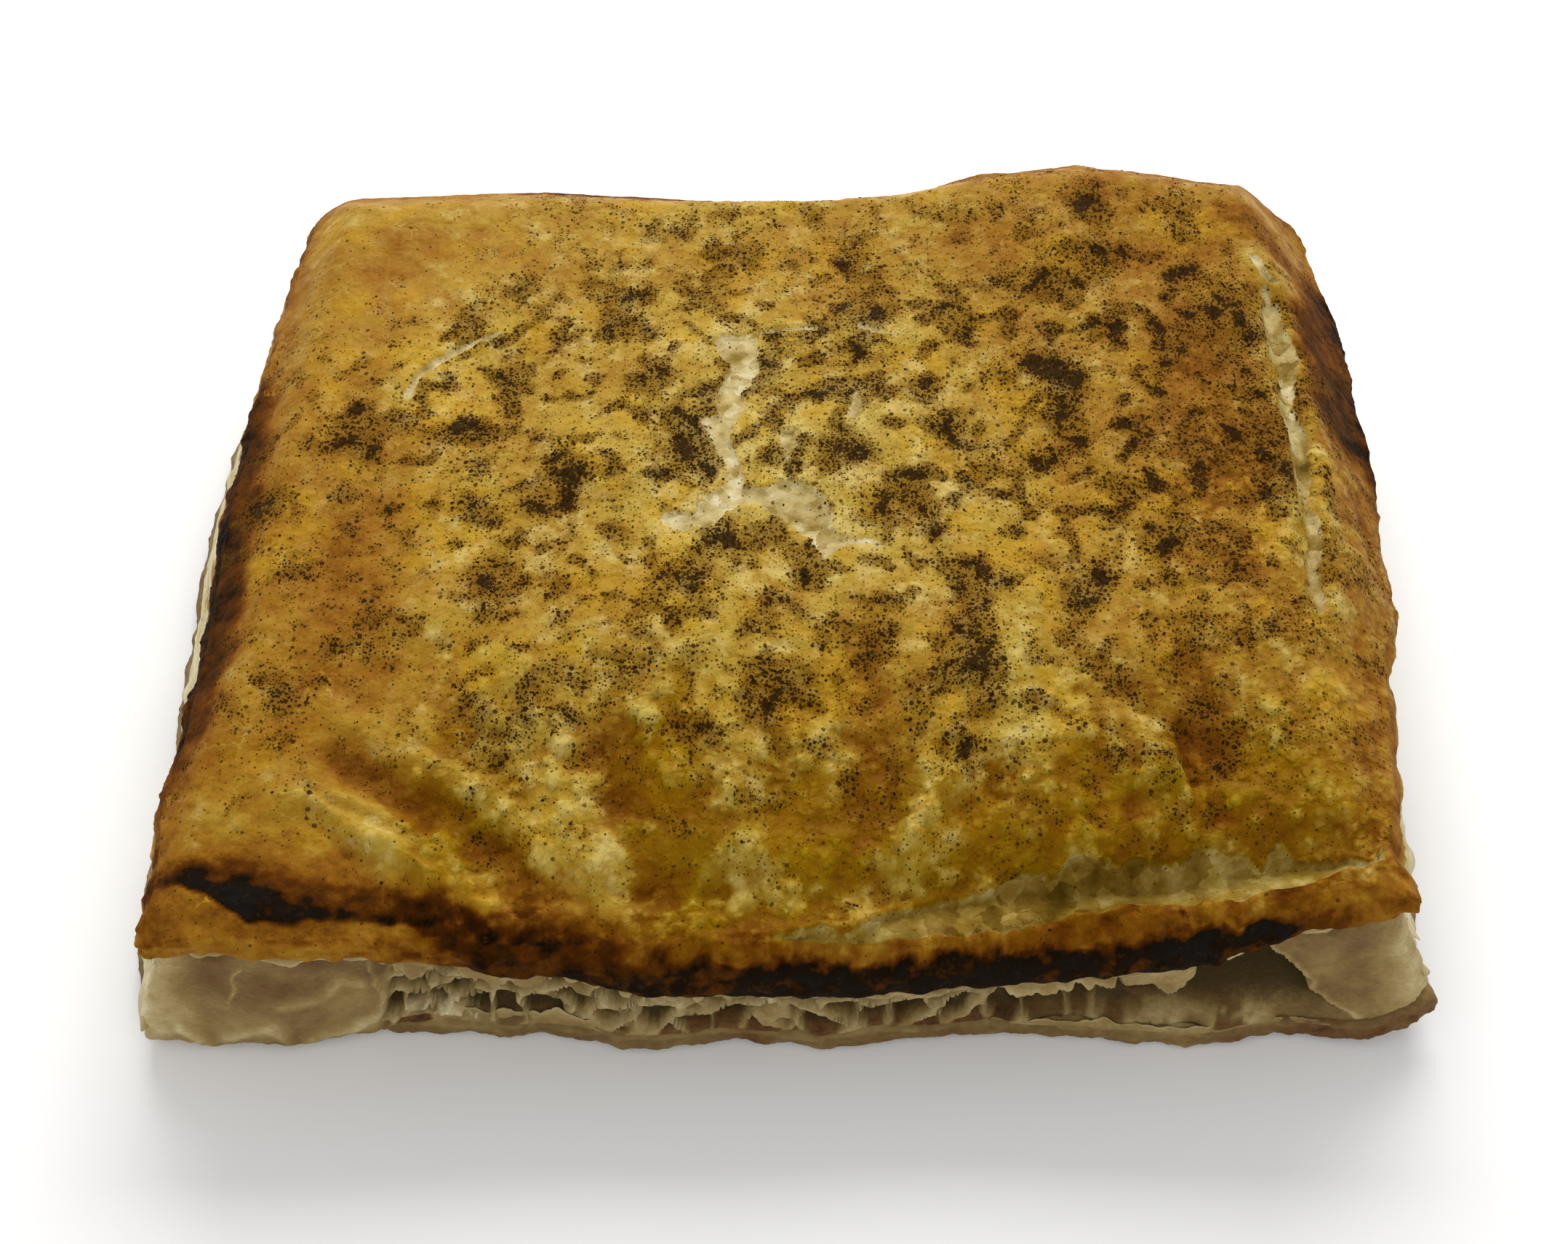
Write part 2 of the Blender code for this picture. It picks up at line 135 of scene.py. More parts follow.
def rounded(a, b, radii):
    # The cage runs from -1 to 1 across (a) and deep (b). This rounds its corners off
    right, back = a >= 0, b >= 0
    radius = np.where(
        back,
        np.where(right, radii["backRight"], radii["backLeft"]),
        np.where(right, radii["frontRight"], radii["frontLeft"]),
    )
    reachA = radius / sliceShape["topRight"][-1][1]
    reachB = radius / sliceShape["topBack"][-1][1]
    overA = np.maximum((np.abs(a) - 1 + reachA) / reachA, 0)
    overB = np.maximum((np.abs(b) - 1 + reachB) / reachB, 0)
    corner = (overA > 0) & (overB > 0)
    turnedA = np.copysign(1 - reachA + reachA * overA * np.sqrt(1 - overB**2 / 2), a)
    turnedB = np.copysign(1 - reachB + reachB * overB * np.sqrt(1 - overA**2 / 2), b)
    return np.where(corner, turnedA, a), np.where(corner, turnedB, b)


def plan(a, b, sheet):
    a, b = rounded(a, b, sliceShape[sheet + "Corners"])
    guessX = a * sliceShape["topRight"][-1][1]
    guessY = b * sliceShape["topBack"][-1][1]
    left, right = along(sliceShape[sheet + "Left"], guessY), along(sliceShape[sheet + "Right"], guessY)
    front, back = along(sliceShape[sheet + "Front"], guessX), along(sliceShape[sheet + "Back"], guessX)
    return mix(left, right, (a + 1) / 2), mix(front, back, (b + 1) / 2)


def topPlan(a, b):
    x, y = plan(a, b, "top")
    edge = np.maximum(np.abs(a), np.abs(b)) ** 8
    return x + edge * 0.7 * bumps(x, y, 3, 9.0), y + edge * 0.5 * bumps(x, y, 8, 9.0)


def basePlan(a, b):
    x, y = plan(a, b, "base")
    return x + 1.1 * bumps(x, y, 13, 9.0), y + 0.4 * bumps(x, y, 18, 9.0)


def shoulder(distance, reach):
    share = np.clip(distance / reach, 0.0, 1.0)
    return (1 - share) ** 2 * (1 + 0.9 * share)


def lineDistance(x, y, start, end):
    stepX, stepY = end[0] - start[0], end[1] - start[1]
    share = ((x - start[0]) * stepX + (y - start[1]) * stepY) / (stepX**2 + stepY**2)
    share = np.clip(share, 0, 1)
    return np.hypot(x - start[0] - share * stepX, y - start[1] - share * stepY)


def pathDistance(x, y, path):
    return np.min([lineDistance(x, y, start, end) for start, end in zip(path, path[1:])], axis=0)


def insideDepth(x, y, outline):
    # Distance to the outline, positive inside and negative outside
    inside = np.zeros(np.shape(x), bool)
    nearest = np.full(np.shape(x), 1e9)
    for (x0, y0), (x1, y1) in zip(outline, outline[1:] + outline[:1]):
        nearest = np.minimum(nearest, lineDistance(x, y, (x0, y0), (x1, y1)))
        if y0 != y1:
            crosses = ((y0 > y) != (y1 > y)) & (x < (x1 - x0) * (y - y0) / (y1 - y0) + x0)
            inside ^= crosses
    return np.where(inside, nearest, -nearest)


def mounds(x, y, table):
    # Soft mounds of (x, y, width, depth, rise), added up
    return sum(rise * hill(x - cx, width) * hill(y - cy, depth) for cx, cy, width, depth, rise in table)


def stirred(x, y, amount, grain, seeds):
    # Moves points about a little, so that lines drawn through them come out ragged
    return x + amount * bumps(x, y, seeds[0], grain), y + amount * bumps(x, y, seeds[1], grain)


def sidesInward(x, y):
    # How far a point lies inside each side of the top sheet
    return {
        "front": y - along(sliceShape["topFront"], x),
        "back": along(sliceShape["topBack"], x) - y,
        "left": x - along(sliceShape["topLeft"], y),
        "right": along(sliceShape["topRight"], y) - x,
    }


def domeHeight(x, y):
    full = sliceShape["plateau"] + mounds(x, y, sliceShape["mounds"])
    inward = sidesInward(x, y)
    places = {"front": x, "back": x, "left": y, "right": y}
    falls = []
    for side, reach in sliceShape["shoulders"].items():
        crest = along(sliceShape["crest" + side.capitalize()], places[side])
        falls.append((full - crest) * shoulder(inward[side], reach))
    join = sliceShape["shoulderJoin"]
    height = full - sum(np.maximum(fall, 0) ** join for fall in falls) ** (1 / join)
    gap = hill(inward["front"] - sliceShape["troughSetback"], sliceShape["troughHalfWidth"])
    return height - along(sliceShape["trough"], x) * gap


def crackGroove(x, y):
    near, far = sliceShape["crackLine"][0][0], sliceShape["crackLine"][-1][0]
    taper = sliceShape["crackTaper"]
    length = smooth(near, near + taper, y) * (1 - smooth(far - taper, far, y))
    beside = x - along(sliceShape["crackLine"], y)
    return -sliceShape["crackDepth"] * length * hill(beside, sliceShape["crackHalfWidth"])


def bySide(columns, amounts):
    # Reads an amount for each side, blended at the corners
    acrossX = np.where(columns["a"] < 0, amounts["left"], amounts["right"])
    acrossY = np.where(columns["b"] < 0, amounts["front"], amounts["back"])
    outX, outY = np.abs(columns["outX"]), np.abs(columns["outY"])
    return (acrossX * outX + acrossY * outY) / (outX + outY)


def rimCage(across, deep):
    # The cage points of the rim, counter-clockwise from the front left corner
    acrossLine = crowded(np.linspace(-1, 1, across + 1))
    deepLine = crowded(np.linspace(-1, 1, deep + 1))
    a = np.concatenate((acrossLine[:-1], np.ones(deep), acrossLine[:0:-1], -np.ones(deep)))
    b = np.concatenate((-np.ones(across), deepLine[:-1], np.ones(across), deepLine[:0:-1]))
    return a, b


def crowded(share):
    # Draws the cage's lines together near the rim
    return mix(share, np.sin(share * np.pi / 2), 0.35)


def ruffle(x, y):
    # How far the base sheet's edge is lifted off the plate
    wave = sliceShape["ruffleLift"] * (0.5 + bumps(x, y, 30, sliceShape["ruffleLength"]))
    corner = sliceShape["curledCorner"]
    away = np.hypot(x - corner["x"], y - corner["y"])
    return np.maximum(wave, 0) + corner["lift"] * hill(away, corner["reach"])


def rimColumns(across, deep):
    # What the sides need to know at each place round the slice
    a, b = rimCage(across, deep)
    columns = {"a": a, "b": b}
    columns["outX"] = np.copysign(smooth(0.9, 1.0, np.abs(a)), a)
    columns["outY"] = np.copysign(smooth(0.9, 1.0, np.abs(b)), b)
    columns["front"] = smooth(0.9, 1.0, -b)
    topX, topY = topPlan(a, b)
    baseX, baseY = basePlan(a, b)
    crest = domeHeight(topX, topY) + crackGroove(topX, topY)
    columns.update(topX=topX, topY=topY, baseX=baseX, baseY=baseY, crest=crest)
    columns["lift"] = ruffle(baseX, baseY)
    crustLow = crest - bySide(columns, {"front": 0.0, **sliceShape["crustEdge"]})
    columns["edgeLow"] = mix(crustLow, along(sliceShape["lipLow"], topX), columns["front"])
    lipReach = along(sliceShape["lipReach"], topX)
    columns["edgeReach"] = mix(sliceShape["crustReach"], lipReach, columns["front"])
    columns["overhang"] = bySide(columns, sliceShape["overhang"])
    return columns


def outFrom(columns, height, reach):
    # Places points on the line of the side at these heights, this far out from it
    down = np.minimum((columns["crest"] - height) / (columns["crest"] - columns["lift"]), 1.0)
    x = mix(columns["topX"], columns["baseX"], down) + columns["outX"] * reach
    y = mix(columns["topY"], columns["baseY"], down) + columns["outY"] * reach
    return np.stack((x, y, np.broadcast_to(height, x.shape)), -1)


def wrapped(columns):
    # Where the smooth skin of the front left wall wraps the base sheet too
    return columns["front"] * (1 - smooth(-45.0, -42.0, columns["baseX"]))


def wallHeight(columns, share):
    low = columns["lift"] + mix(sliceShape["baseSheet"], 0.3, wrapped(columns))
    return mix(columns["edgeLow"], low, share)


def wallPoint(columns, height, out):
    # A point on the wall between the browned edge and the base sheet, moved out by so much
    low = columns["lift"] + sliceShape["baseSheet"]
    share = np.clip((columns["edgeLow"] - height) / (columns["edgeLow"] - low), 0, 1)
    reach = columns["edgeReach"] * (1 - smooth(0, 0.5, share))
    tucked = columns["overhang"] * (1 - smooth(0, 0.3, share))
    return outFrom(columns, height, reach - tucked + out)


def takeColumns(columns, index):
    # The columns at these fractional indexes, going round
    count = len(columns["a"])
    low = np.floor(index).astype(int)
    near, far = low % count, (low + 1) % count
    return {name: mix(values[near], values[far], index - low) for name, values in columns.items()}


def addPiece(name, points, faces, marks):
    # Marks are values at the points that the finishes read
    mesh = bpy.data.meshes.new(name)
    moved = (np.asarray(points) - (planMiddle[0], planMiddle[1], 0)) * mm
    mesh.from_pydata(moved.tolist(), [], faces)
    mesh.shade_smooth()
    for mark, values in marks.items():
        layer = mesh.attributes.new(mark, "FLOAT", "POINT")
        layer.data.foreach_set("value", np.asarray(values, np.float32))
    piece = bpy.data.objects.new(name, mesh)
    bpy.context.scene.collection.objects.link(piece)
    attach(piece, "root")
    return piece


def gridFaces(rows, count, start=0, closed=False):
    # Quads of a grid of so many rows of count points. A closed grid joins the row's ends
    faces = []
    steps = count if closed else count - 1
    for row in range(rows - 1):
        near = start + row * count
        for step in range(steps):
            after = (step + 1) % count
            faces.append((near + step, near + after, near + count + after, near + count + step))
    return faces


def shellFaces(rows, count):
    # Faces of rings of points from the top down, closed at both ends
    faces = [face[::-1] for face in gridFaces(rows, count, closed=True)]
    bottom = range(rows * count - 1, (rows - 1) * count - 1, -1)
    return faces + [tuple(range(count)), tuple(bottom)]


topSheet = {
    "cellsAcross": 316,
    "cellsDeep": 246,
    "rollRings": 14,
    "tuckedUnder": ((1.02, -0.6), (1, -3), (1, -6)),  # (share of the edge's height, reach)
    "innerLevel": 9,
    "roll": ((0, 0), (0.08, 0.34), (0.2, 0.66), (0.4, 0.92), (0.65, 1), (0.85, 0.9), (1, 0.4)),
    "lumpGrain": 4.4,
    "lumpRise": 0.85,
    "pearls": ((4.4, 0.62, 101), (2.1, 0.4, 107)),  # (grain, rise, seed)
    "gritRise": 0.07,
    "gapShadeTone": (  # of the pale gap behind the front lip, along x: darker than the torn places as painted shade
        (6, 0.5), (24, 0.6), (34, 0.62), (42, 0.42), (52, 0.4), (60, 0.28),
    ),
    "amberAndShade": (  # more or less of the thick dark glaze and of its painted shade: (x, y, width, depth, share)
        (-10, -35, 4.5, 9, 0.5), (33, -39, 10, 9, 0.4), (-23.5, -39, 4, 12, -1), (-37, -46, 5, 4, 0.3),
        (-10, -20, 5, 11, 0.35), (40, -28, 9, 8, 0.3), (16, -30, 8, 6, -0.3), (57, -36, 6, 9, 0.2),
    ),
    "tearDepth": 0.34,
    "gapDepth": 0.8,
    "tearTone": 0.31,
    "crestLumps": 0.55,  # rise of the lumps along the front lip
    "crestFall": (0.8, 1.9),  # how far the front left rim is rounded off, and over what width
    "folds": (  # folds and creases: (start, end, rise, half width)
        ((-51, -41), (-36, -49.5), 1, 2.4), ((-44, -47), (-30, -52), 0.5, 2),
        ((-47.3, -36.6), (-28.2, -47), -1.3, 1.7), ((-49, -30.3), (-32, -40.5), 0.6, 1.8),
        ((-32, -40.5), (-19.4, -49.7), 0.6, 1.6), ((-29, -26), (-18, -50), 0.9, 3.4),
        ((-20, -36), (-14, -50), -1.1, 2.4), ((-8, -20), (-5, -46), 0.7, 3.6),
        ((9, -22), (10, -42), -0.8, 3), ((18, -38), (11, -46), 1, 2.4), ((25, -16), (27, -40), 0.7, 3.4),
        ((44, -26), (46, -42), -1.2, 2.4), ((36, -32), (42, -40), 1, 2.8),
        ((-45, -44.6), (-42, -46.1), 0.6, 1), ((-42, -46.1), (-37.3, -48.5), 0.6, 1.1),
        ((-46.6, -40.4), (-39.1, -44.3), 0.45, 0.9), ((-36.7, -45.8), (-31.3, -50.2), 0.45, 1),
        ((-49.5, -43.1), (-45, -46.9), -0.6, 0.9), ((-45, -46.9), (-36.5, -50.4), -0.6, 0.9),
        ((-47.3, -41.7), (-34.3, -49.4), -0.5, 0.5), ((-31.6, -31.9), (-20.6, -48.4), 0.5, 1.5),
        ((17.5, -38.5), (11.6, -46), 0.7, 1), ((42.9, -32), (43.4, -42), -1, 0.7),
    ),
    "blisters": (  # (x, y, radius, rise)
        (38.6, -37.5, 3.8, 0.9), (38.2, -44, 3.2, 0.8), (53.5, 0.5, 0.9, 0.5), (30.5, -41, 2.4, 0.5),
    ),
    "tears": {  # where the glazed skin has come off the pale layer below
        "centre": (
            (-8.3, 23.3), (-7.7, 24.6), (-5.2, 24.3), (-3.5, 24.2), (-3.3, 22), (-2.9, 19.2), (-3.4, 16.8),
            (-4.8, 14.8), (-4.8, 12), (-5.6, 8.8), (-6.3, 6.9), (-5.4, 4), (-5.1, 1.4), (-4.4, -0.6),
            (-1.6, -0.9), (-1.1, 0.2), (1, 0), (3.5, -0.8), (4.8, -2.3), (5.4, -4.6), (5.7, -7.5),
            (8.1, -8.6), (5.8, -9.8), (4.9, -11.4), (3.6, -9.4), (2.2, -7.2), (-0.6, -4.9), (-3.2, -3.3),
            (-4.8, -3.3), (-6.7, -4.4), (-8.2, -7.4), (-9.7, -7.1), (-10.3, -5.4), (-9.8, -3.2), (-7.6, -1),
            (-6.3, 0.6), (-6.8, 3.4), (-8.6, 6.4), (-9.9, 8.7), (-9.5, 10.1), (-7.6, 10.4), (-8.4, 13.6),
            (-7.4, 16.2), (-6.4, 19), (-8.2, 21.4),
        ),
        "chip": (
            (-0.6, 7.3), (0.2, 8.4), (1.5, 8), (1.6, 5.8), (0.9, 4.3), (0.4, 2.4), (0, 4.4), (-0.6, 5.8),
        ),
        "sliver": ((7.6, 11.8), (8.5, 14.8), (9.6, 13), (9, 10.6), (8.3, 8.6), (7.8, 10)),
        "nick": ((8.4, 25.4), (9.6, 26.7), (10.9, 25.6), (13.2, 24.3), (10.6, 24.6)),
    },
    "crack": (
        (59.6, 31.8), (59.1, 27.2), (59.3, 22.4), (60.3, 19.8), (59.3, 15.4), (59, 12.2), (59.6, 9.6),
        (59.4, 2.8), (59.7, -1.6), (60.9, -2), (62, 3.2), (62.3, 6.8), (62.7, 10.8), (61.5, 14.2),
        (62.4, 18.5), (63.6, 22.4), (62.7, 25.4), (62.3, 28.9), (61.9, 32.2),
    ),
    "paleRuns": (  # where the skin is scratched or cracked pale: (path, half width)
        (((59.6, 38), (60.4, 35.8), (61.7, 35.2)), 0.7), (((60.5, 34), (60.8, 31.5)), 0.5),
        (((60.6, -2), (60.9, -6), (59.7, -12), (59.5, -17)), 0.8),
        (((-45.1, 14.7), (-44.2, 18.3), (-42, 20.8)), 0.5),
        (((-42.4, 20.7), (-39, 23.6), (-35.2, 25.7)), 0.4), (((-12.8, -5.4), (-10.9, -6.4)), 1.1),
        (((-3.5, 24.3), (-1, 25.4), (4, 25.6)), 0.35), (((6.3, -8.4), (11, -8.8)), 0.4),
    ),
    "skinEdge": (  # where the browned skin ends behind the front lip, as (x, y)
        (-9, -55.6), (0, -54.9), (6.5, -53.8), (12.2, -51.7), (20.5, -48.8), (24, -47.4), (28, -46.5),
        (32, -45.8), (52, -45.5), (57.2, -46.4), (61.6, -48),
    ),
    "lipCrest": (  # the top of the front lip, as (x, y)
        (-9, -55.2), (8, -55.3), (16, -54.6), (24, -53.6), (32, -52), (36.4, -51.4), (40, -52.2),
        (48, -51.8), (53, -50.6), (58.4, -49.3), (61.5, -48.4),
    ),
    "baking": {  # how far the glaze is baked: its tone, and mounds of (x, y, width, depth, tone)
        "tone": 0.44,
        "mounds": (
            (0, 2, 36, 30, -0.11), (-50, -12, 13, 34, 0.12), (-47, 44, 20, 12, 0.04), (66, 6, 7, 44, 0.08),
            (48, 8, 14, 24, 0.16), (36, 42, 32, 16, 0.09), (-60, -46, 9, 8, 0.06), (50, -36, 14, 9, -0.05),
            (-8, 48, 40, 10, -0.05), (70, -10, 8, 22, -0.04),
        ),
        "rim": {"front": 0.06, "back": 0.12, "left": 0.1, "right": 0.08},
        "rimWidth": 3.5,
    },
    "burns": (  # burnt places on the glaze: (outline, tone added, soft edge)
        (
            (
                (-70, 34), (-64.5, 24), (-62, 15), (-61, 0), (-60.6, -12), (-59.6, -24), (-61.4, -31),
                (-65, -37), (-70, -42),
            ),
            0.24, 3.6,
        ),
        (
            ((72, 46), (67, 40), (64, 32), (62.8, 25), (63.6, 17), (67, 12), (73, 6), (77, 6), (77, 46)),
            0.26, 3.6,
        ),
        (((50, 47), (60, 48.5), (70, 42), (66, 38)), 0.12, 3.6),
        (
            ((-42, 57.6), (-31, 54.4), (-18, 54), (-6, 54.4), (3, 55), (16, 58), (16, 60), (-42, 60)), 0.24,
            2,
        ),
    ),
    "frontBurn": {  # the burnt band of the front left rim and its black core
        "top": (
            (-66, -48.3), (-60.9, -47.6), (-54.9, -48.2), (-50.8, -49), (-45.8, -49.4), (-39.2, -50.6),
            (-32.1, -52.2), (-27.2, -53), (-19.8, -54.8), (-8, -56.6),
        ),
        "low": (
            (-66, -50.3), (-63.5, -50.5), (-59.5, -51.6), (-56.3, -53.1), (-54.7, -54.3), (-51.7, -54.5),
            (-48.3, -53.9), (-42, -54.1), (-39, -54.5), (-32, -56.2), (-8, -58),
        ),
        "core": (
            (-66, -49.6), (-63.6, -49.4), (-60.7, -49), (-57.2, -49.9), (-52.6, -51), (-49.1, -51.7),
            (-43.1, -52.6), (-36, -54.4), (-8, -58),
        ),
    },
    "lipBurns": ((42.4, 2.2), (48.8, 1.8)),  # dark spots on the lip's face: (x, half width)
    "lipTone": {  # of the front lip's brow and face, along x
        "brow": (
            (-66, 0.5), (-52, 0.5), (-44, 0.52), (-37, 0.66), (-30, 0.8), (-22, 0.82), (-12, 0.78),
            (-2, 0.68), (10, 0.62), (24, 0.62), (34, 0.58), (46, 0.62), (56, 0.56), (66, 0.54),
        ),
        "face": (
            (-66, 0.54), (-52, 0.54), (-44, 0.56), (-37, 0.66), (-28, 0.8), (-18, 0.84), (-4, 0.88),
            (14, 0.89), (24, 0.9), (32, 0.9), (40, 0.89), (48, 0.86), (54, 0.7), (66, 0.56),
        ),
    },
}

# Ground pepper
pepper = {
    "grains": {"count": 6000, "radius": (0.08, 0.19), "flat": 0.55, "seed": 5},
    "dust": {"count": 18000, "radius": (0.055, 0.115), "flat": 0.7, "seed": 9},
    "area": ((-66, 73), (-57, 57)),  # where grains may land, in x and y
    "tries": 14,  # places tried for each grain
    "steepest": 0.3,  # no grain where the surface's normal points up by less than this
    "thin": ((4, 4, 66, 46, 0.46),),  # where it is spread thinly: (x, y, width, depth, share)
    "thinSpots": ((46, 20, 20, 26, 0.3), (-38, 8, 15, 17, 0.16)),
    "patches": (  # where it lies thick: (x, y, radius)
        (-8, 47, 1.5), (-13, 44, 0.9), (-6, 40, 3.4), (38, 45, 2.3), (31, 43, 0.9), (41, 37, 2), (7, 38, 2),
        (-21, 38, 1.5), (-18, 32, 1.5), (-12, 33, 1.5), (-33, 34, 1.8), (-38, 28, 2.2), (-30, 30, 1.4),
        (-19, 26, 2.7), (-26, 25, 1.4), (-34, 24, 1.2), (11, 30, 3), (17, 28, 1.4), (28, 33, 1.8),
        (31, 34, 1.3), (36, 30, 1.2), (31, 19, 2.9), (27, 17, 1.7), (53, 30, 3.8), (51, 35, 2.2),
        (56, 23, 3.2), (56, 16, 2.7), (61, 16, 1.4), (39, 24, 1.8), (9, 22, 3.3), (22, 24, 0.9),
        (-1, 25, 1.2), (-34, 17, 1.3), (-41, 16, 1.2), (-37, 9, 1.7), (-36, 3, 2), (-51, 13, 1.3),
        (-52, 7, 2.6), (-49, 5, 1.3), (-45, -3, 1), (-24, 1, 2), (-25, -3, 1.4), (-25, -9, 1.1),
        (-14, 11, 2.1), (-13, 5, 2.8), (-10, 1, 1.3), (-9, 15, 1.1), (-1, 12, 1.7), (5, 4, 2.7),
        (0, 2, 0.9), (12, -3, 2.5), (20, 9, 2.1), (22, 1, 1.6), (17, -7, 1.8), (28, 3, 1.7), (31, 5, 1.5),
        (42, 7, 2.1), (52, 7, 4), (46, 6, 1.9), (43, 0, 1.7), (53, -3, 0.9), (49, -9, 2), (51, -12, 1.3),
        (42, -8, 2), (38, -5, 1.6), (47, -14, 1.8), (43, -14, 1.6), (35, -13, 1.6), (25, -14, 1.2),
        (18, -12, 1.2), (12, -17, 1), (2, -14, 1), (-6, -8, 2.5), (-9, -11, 1.6), (-11, -15, 2.4),
        (-13, -20, 1), (-2, -20, 1.9), (9, -22, 2.4), (19, -20, 1.6), (21, -26, 2.4), (22, -30, 1.7),
        (18, -35, 1.8), (42, -24, 1.6), (51, -20, 0.8), (45, -29, 1.4), (-32, -16, 1.9), (-26, -14, 1.6),
        (-25, -20, 0.9), (-34, -23, 0.9), (-30, -24, 1), (-49, -23, 1.2), (-50, -27, 0.8), (-57, -27, 1.1),
        (-54, -29, 1.6), (-60, -30, 0.9), (-60, -2, 2.8), (-54, -12, 2.3), (-61, -8, 1.3), (-63, 7, 1.2),
        (-61, 9, 1.2), (-33, -31, 1.5), (-31, -34, 1.5), (-23, -32, 1.1), (-9, -34, 1.8), (-10, -29, 1),
        (-2, -30, 2.4), (-3, -26, 1.1), (-9, -40, 0.6), (-1, -41, 0.5), (-32, -40, 0.5), (-30, -47, 0.7),
        (-53, -36, 0.6), (-50, -40, 0.5), (-63, -36, 0.5), (36, -36, 1.5), (40, -37, 1.2), (47, -36, 1.5),
        (51, -39, 0.8), (45, -42, 1), (24, -47, 0.8), (43, -33, 0.6), (-30, -37, 0.9), (-32, -44.5, 0.6),
        (-22.6, -45, 0.7), (-39.5, -44, 0.4), (-50, -39.7, 0.5), (-53, -35, 0.7), (-57, -42.4, 0.5),
        (-55, -29, 1.4), (-27, -32, 0.8), (-24, -31.5, 1), (42, -42.5, 0.9), (33, -43.3, 0.8),
        (18.6, -36.6, 1.5), (7, -51.4, 0.6), (-10, -44, 0.8), (-12, -14, 1.6), (-9, -17, 1.6),
    ),
    "hearts": (  # where it is black
        (-11.9, 32.5, 1.5), (-24.6, 1.1, 1.5), (-44.5, -3.4, 0.8), (5.9, 4.5, 1.7), (7.2, 38.3, 1.5),
        (0.2, 3.8, 1.2), (-18, 31.6, 1.3), (38.3, 44.4, 1.7), (27.2, 32.1, 1.1), (19, 9, 1.5),
        (21.3, 0.7, 1.5), (52.5, 28.2, 1.8), (-24.2, -6.7, 0.9), (-60.5, -2.5, 1.4), (-52, 6.5, 1.3),
        (-10, -16, 0.9), (19.5, -26, 0.9), (22, -31, 0.8), (-2, -30, 0.9), (12, -3, 0.9), (-25, -3, 0.9),
        (19, -36, 0.7), (46, -36, 0.7), (43, -9, 0.7), (53, -20, 0.6),
    ),
}


def pepperDensity(x, y):
    # From 0 where there is no pepper to about 1 in the thick of a patch
    warpX = x + 1.5 * bumps(x, y, 81, 3.4) + 0.7 * bumps(x, y, 83, 1.3)
    warpY = y + 1.5 * bumps(x, y, 85, 3.4) + 0.7 * bumps(x, y, 87, 1.3)
    clear = np.ones(np.shape(x))
    for cx, cy, radius in pepper["patches"]:
        clear *= 1 - 0.95 * hill(np.hypot(warpX - cx, warpY - cy), radius * 1.15)
    hearts = 0
    for cx, cy, radius in pepper["hearts"]:
        hearts = hearts + 0.7 * hill(np.hypot(warpX - cx, warpY - cy), radius)
    spread = mounds(x, y, pepper["thin"]) * (1 - smooth(-36, -52, y) * 0.7)
    spread += mounds(x, y, pepper["thinSpots"])
    spread *= 1 - 0.8 * smooth(20, 40, y) * smooth(-28, -44, x)
    drifts = smooth(0.0, 0.5, bumps(x, y, 41, 6.0)) + 1.1 * smooth(0.05, 0.4, bumps(x, y, 44, 2.6))
    thick = (1 - clear) * (0.62 + 0.6 * bumps(x, y, 47, 1.5)) * (1 + 0.4 * smooth(-6, -28, y)) + hearts
    return np.clip(thick + spread * (0.3 + 1.7 * drifts), 0, 1.6)


def lumpiness(x, y, atRight):
    # The crust is lumpy on the front slope, and along the right rim by the share asked for
    front, right = smooth(-16, -40, y), smooth(38, 52, x) * smooth(26, 4, y)
    lumpy = 0.28 + 0.72 * np.maximum(front * (1 - (1 - atRight) * smooth(50, 60, x)), atRight * right)
    return lumpy * (1 - 0.85 * smooth(-32, -46, x))


def torn(x, y):
    # How far inside a torn place a point lies: positive where the pale layer shows
    warpX, warpY = stirred(x, y, 0.5, 1.3, (61, 64))
    deepest = np.max([insideDepth(warpX, warpY, outline) for outline in topSheet["tears"].values()], axis=0)
    deepest = np.maximum(deepest, insideDepth(warpX, warpY, topSheet["crack"]) - 0.2)
    for path, halfWidth in topSheet["paleRuns"]:
        deepest = np.maximum(deepest, halfWidth - pathDistance(warpX, warpY, path))
    return deepest


def crescent(x, y):
    # The pale gap behind the front lip, positive inside
    shaggy = smooth(18, 34, x)
    edge = along(topSheet["skinEdge"], x) + (0.9 + 1.1 * shaggy) * bumps(x, y * 0.5, 71, 4.0)
    edge = edge + (0.4 + 0.9 * shaggy) * bumps(x, y * 0.5, 74, 1.7)
    crest = along(topSheet["lipCrest"], x) + 0.6 * bumps(x, y, 77, 3.0) + 0.3 * bumps(x, y, 78, 1.1)
    ends = np.minimum(x + 9, 62.0 - x)
    return np.minimum(np.minimum(edge - y, y - crest), ends)


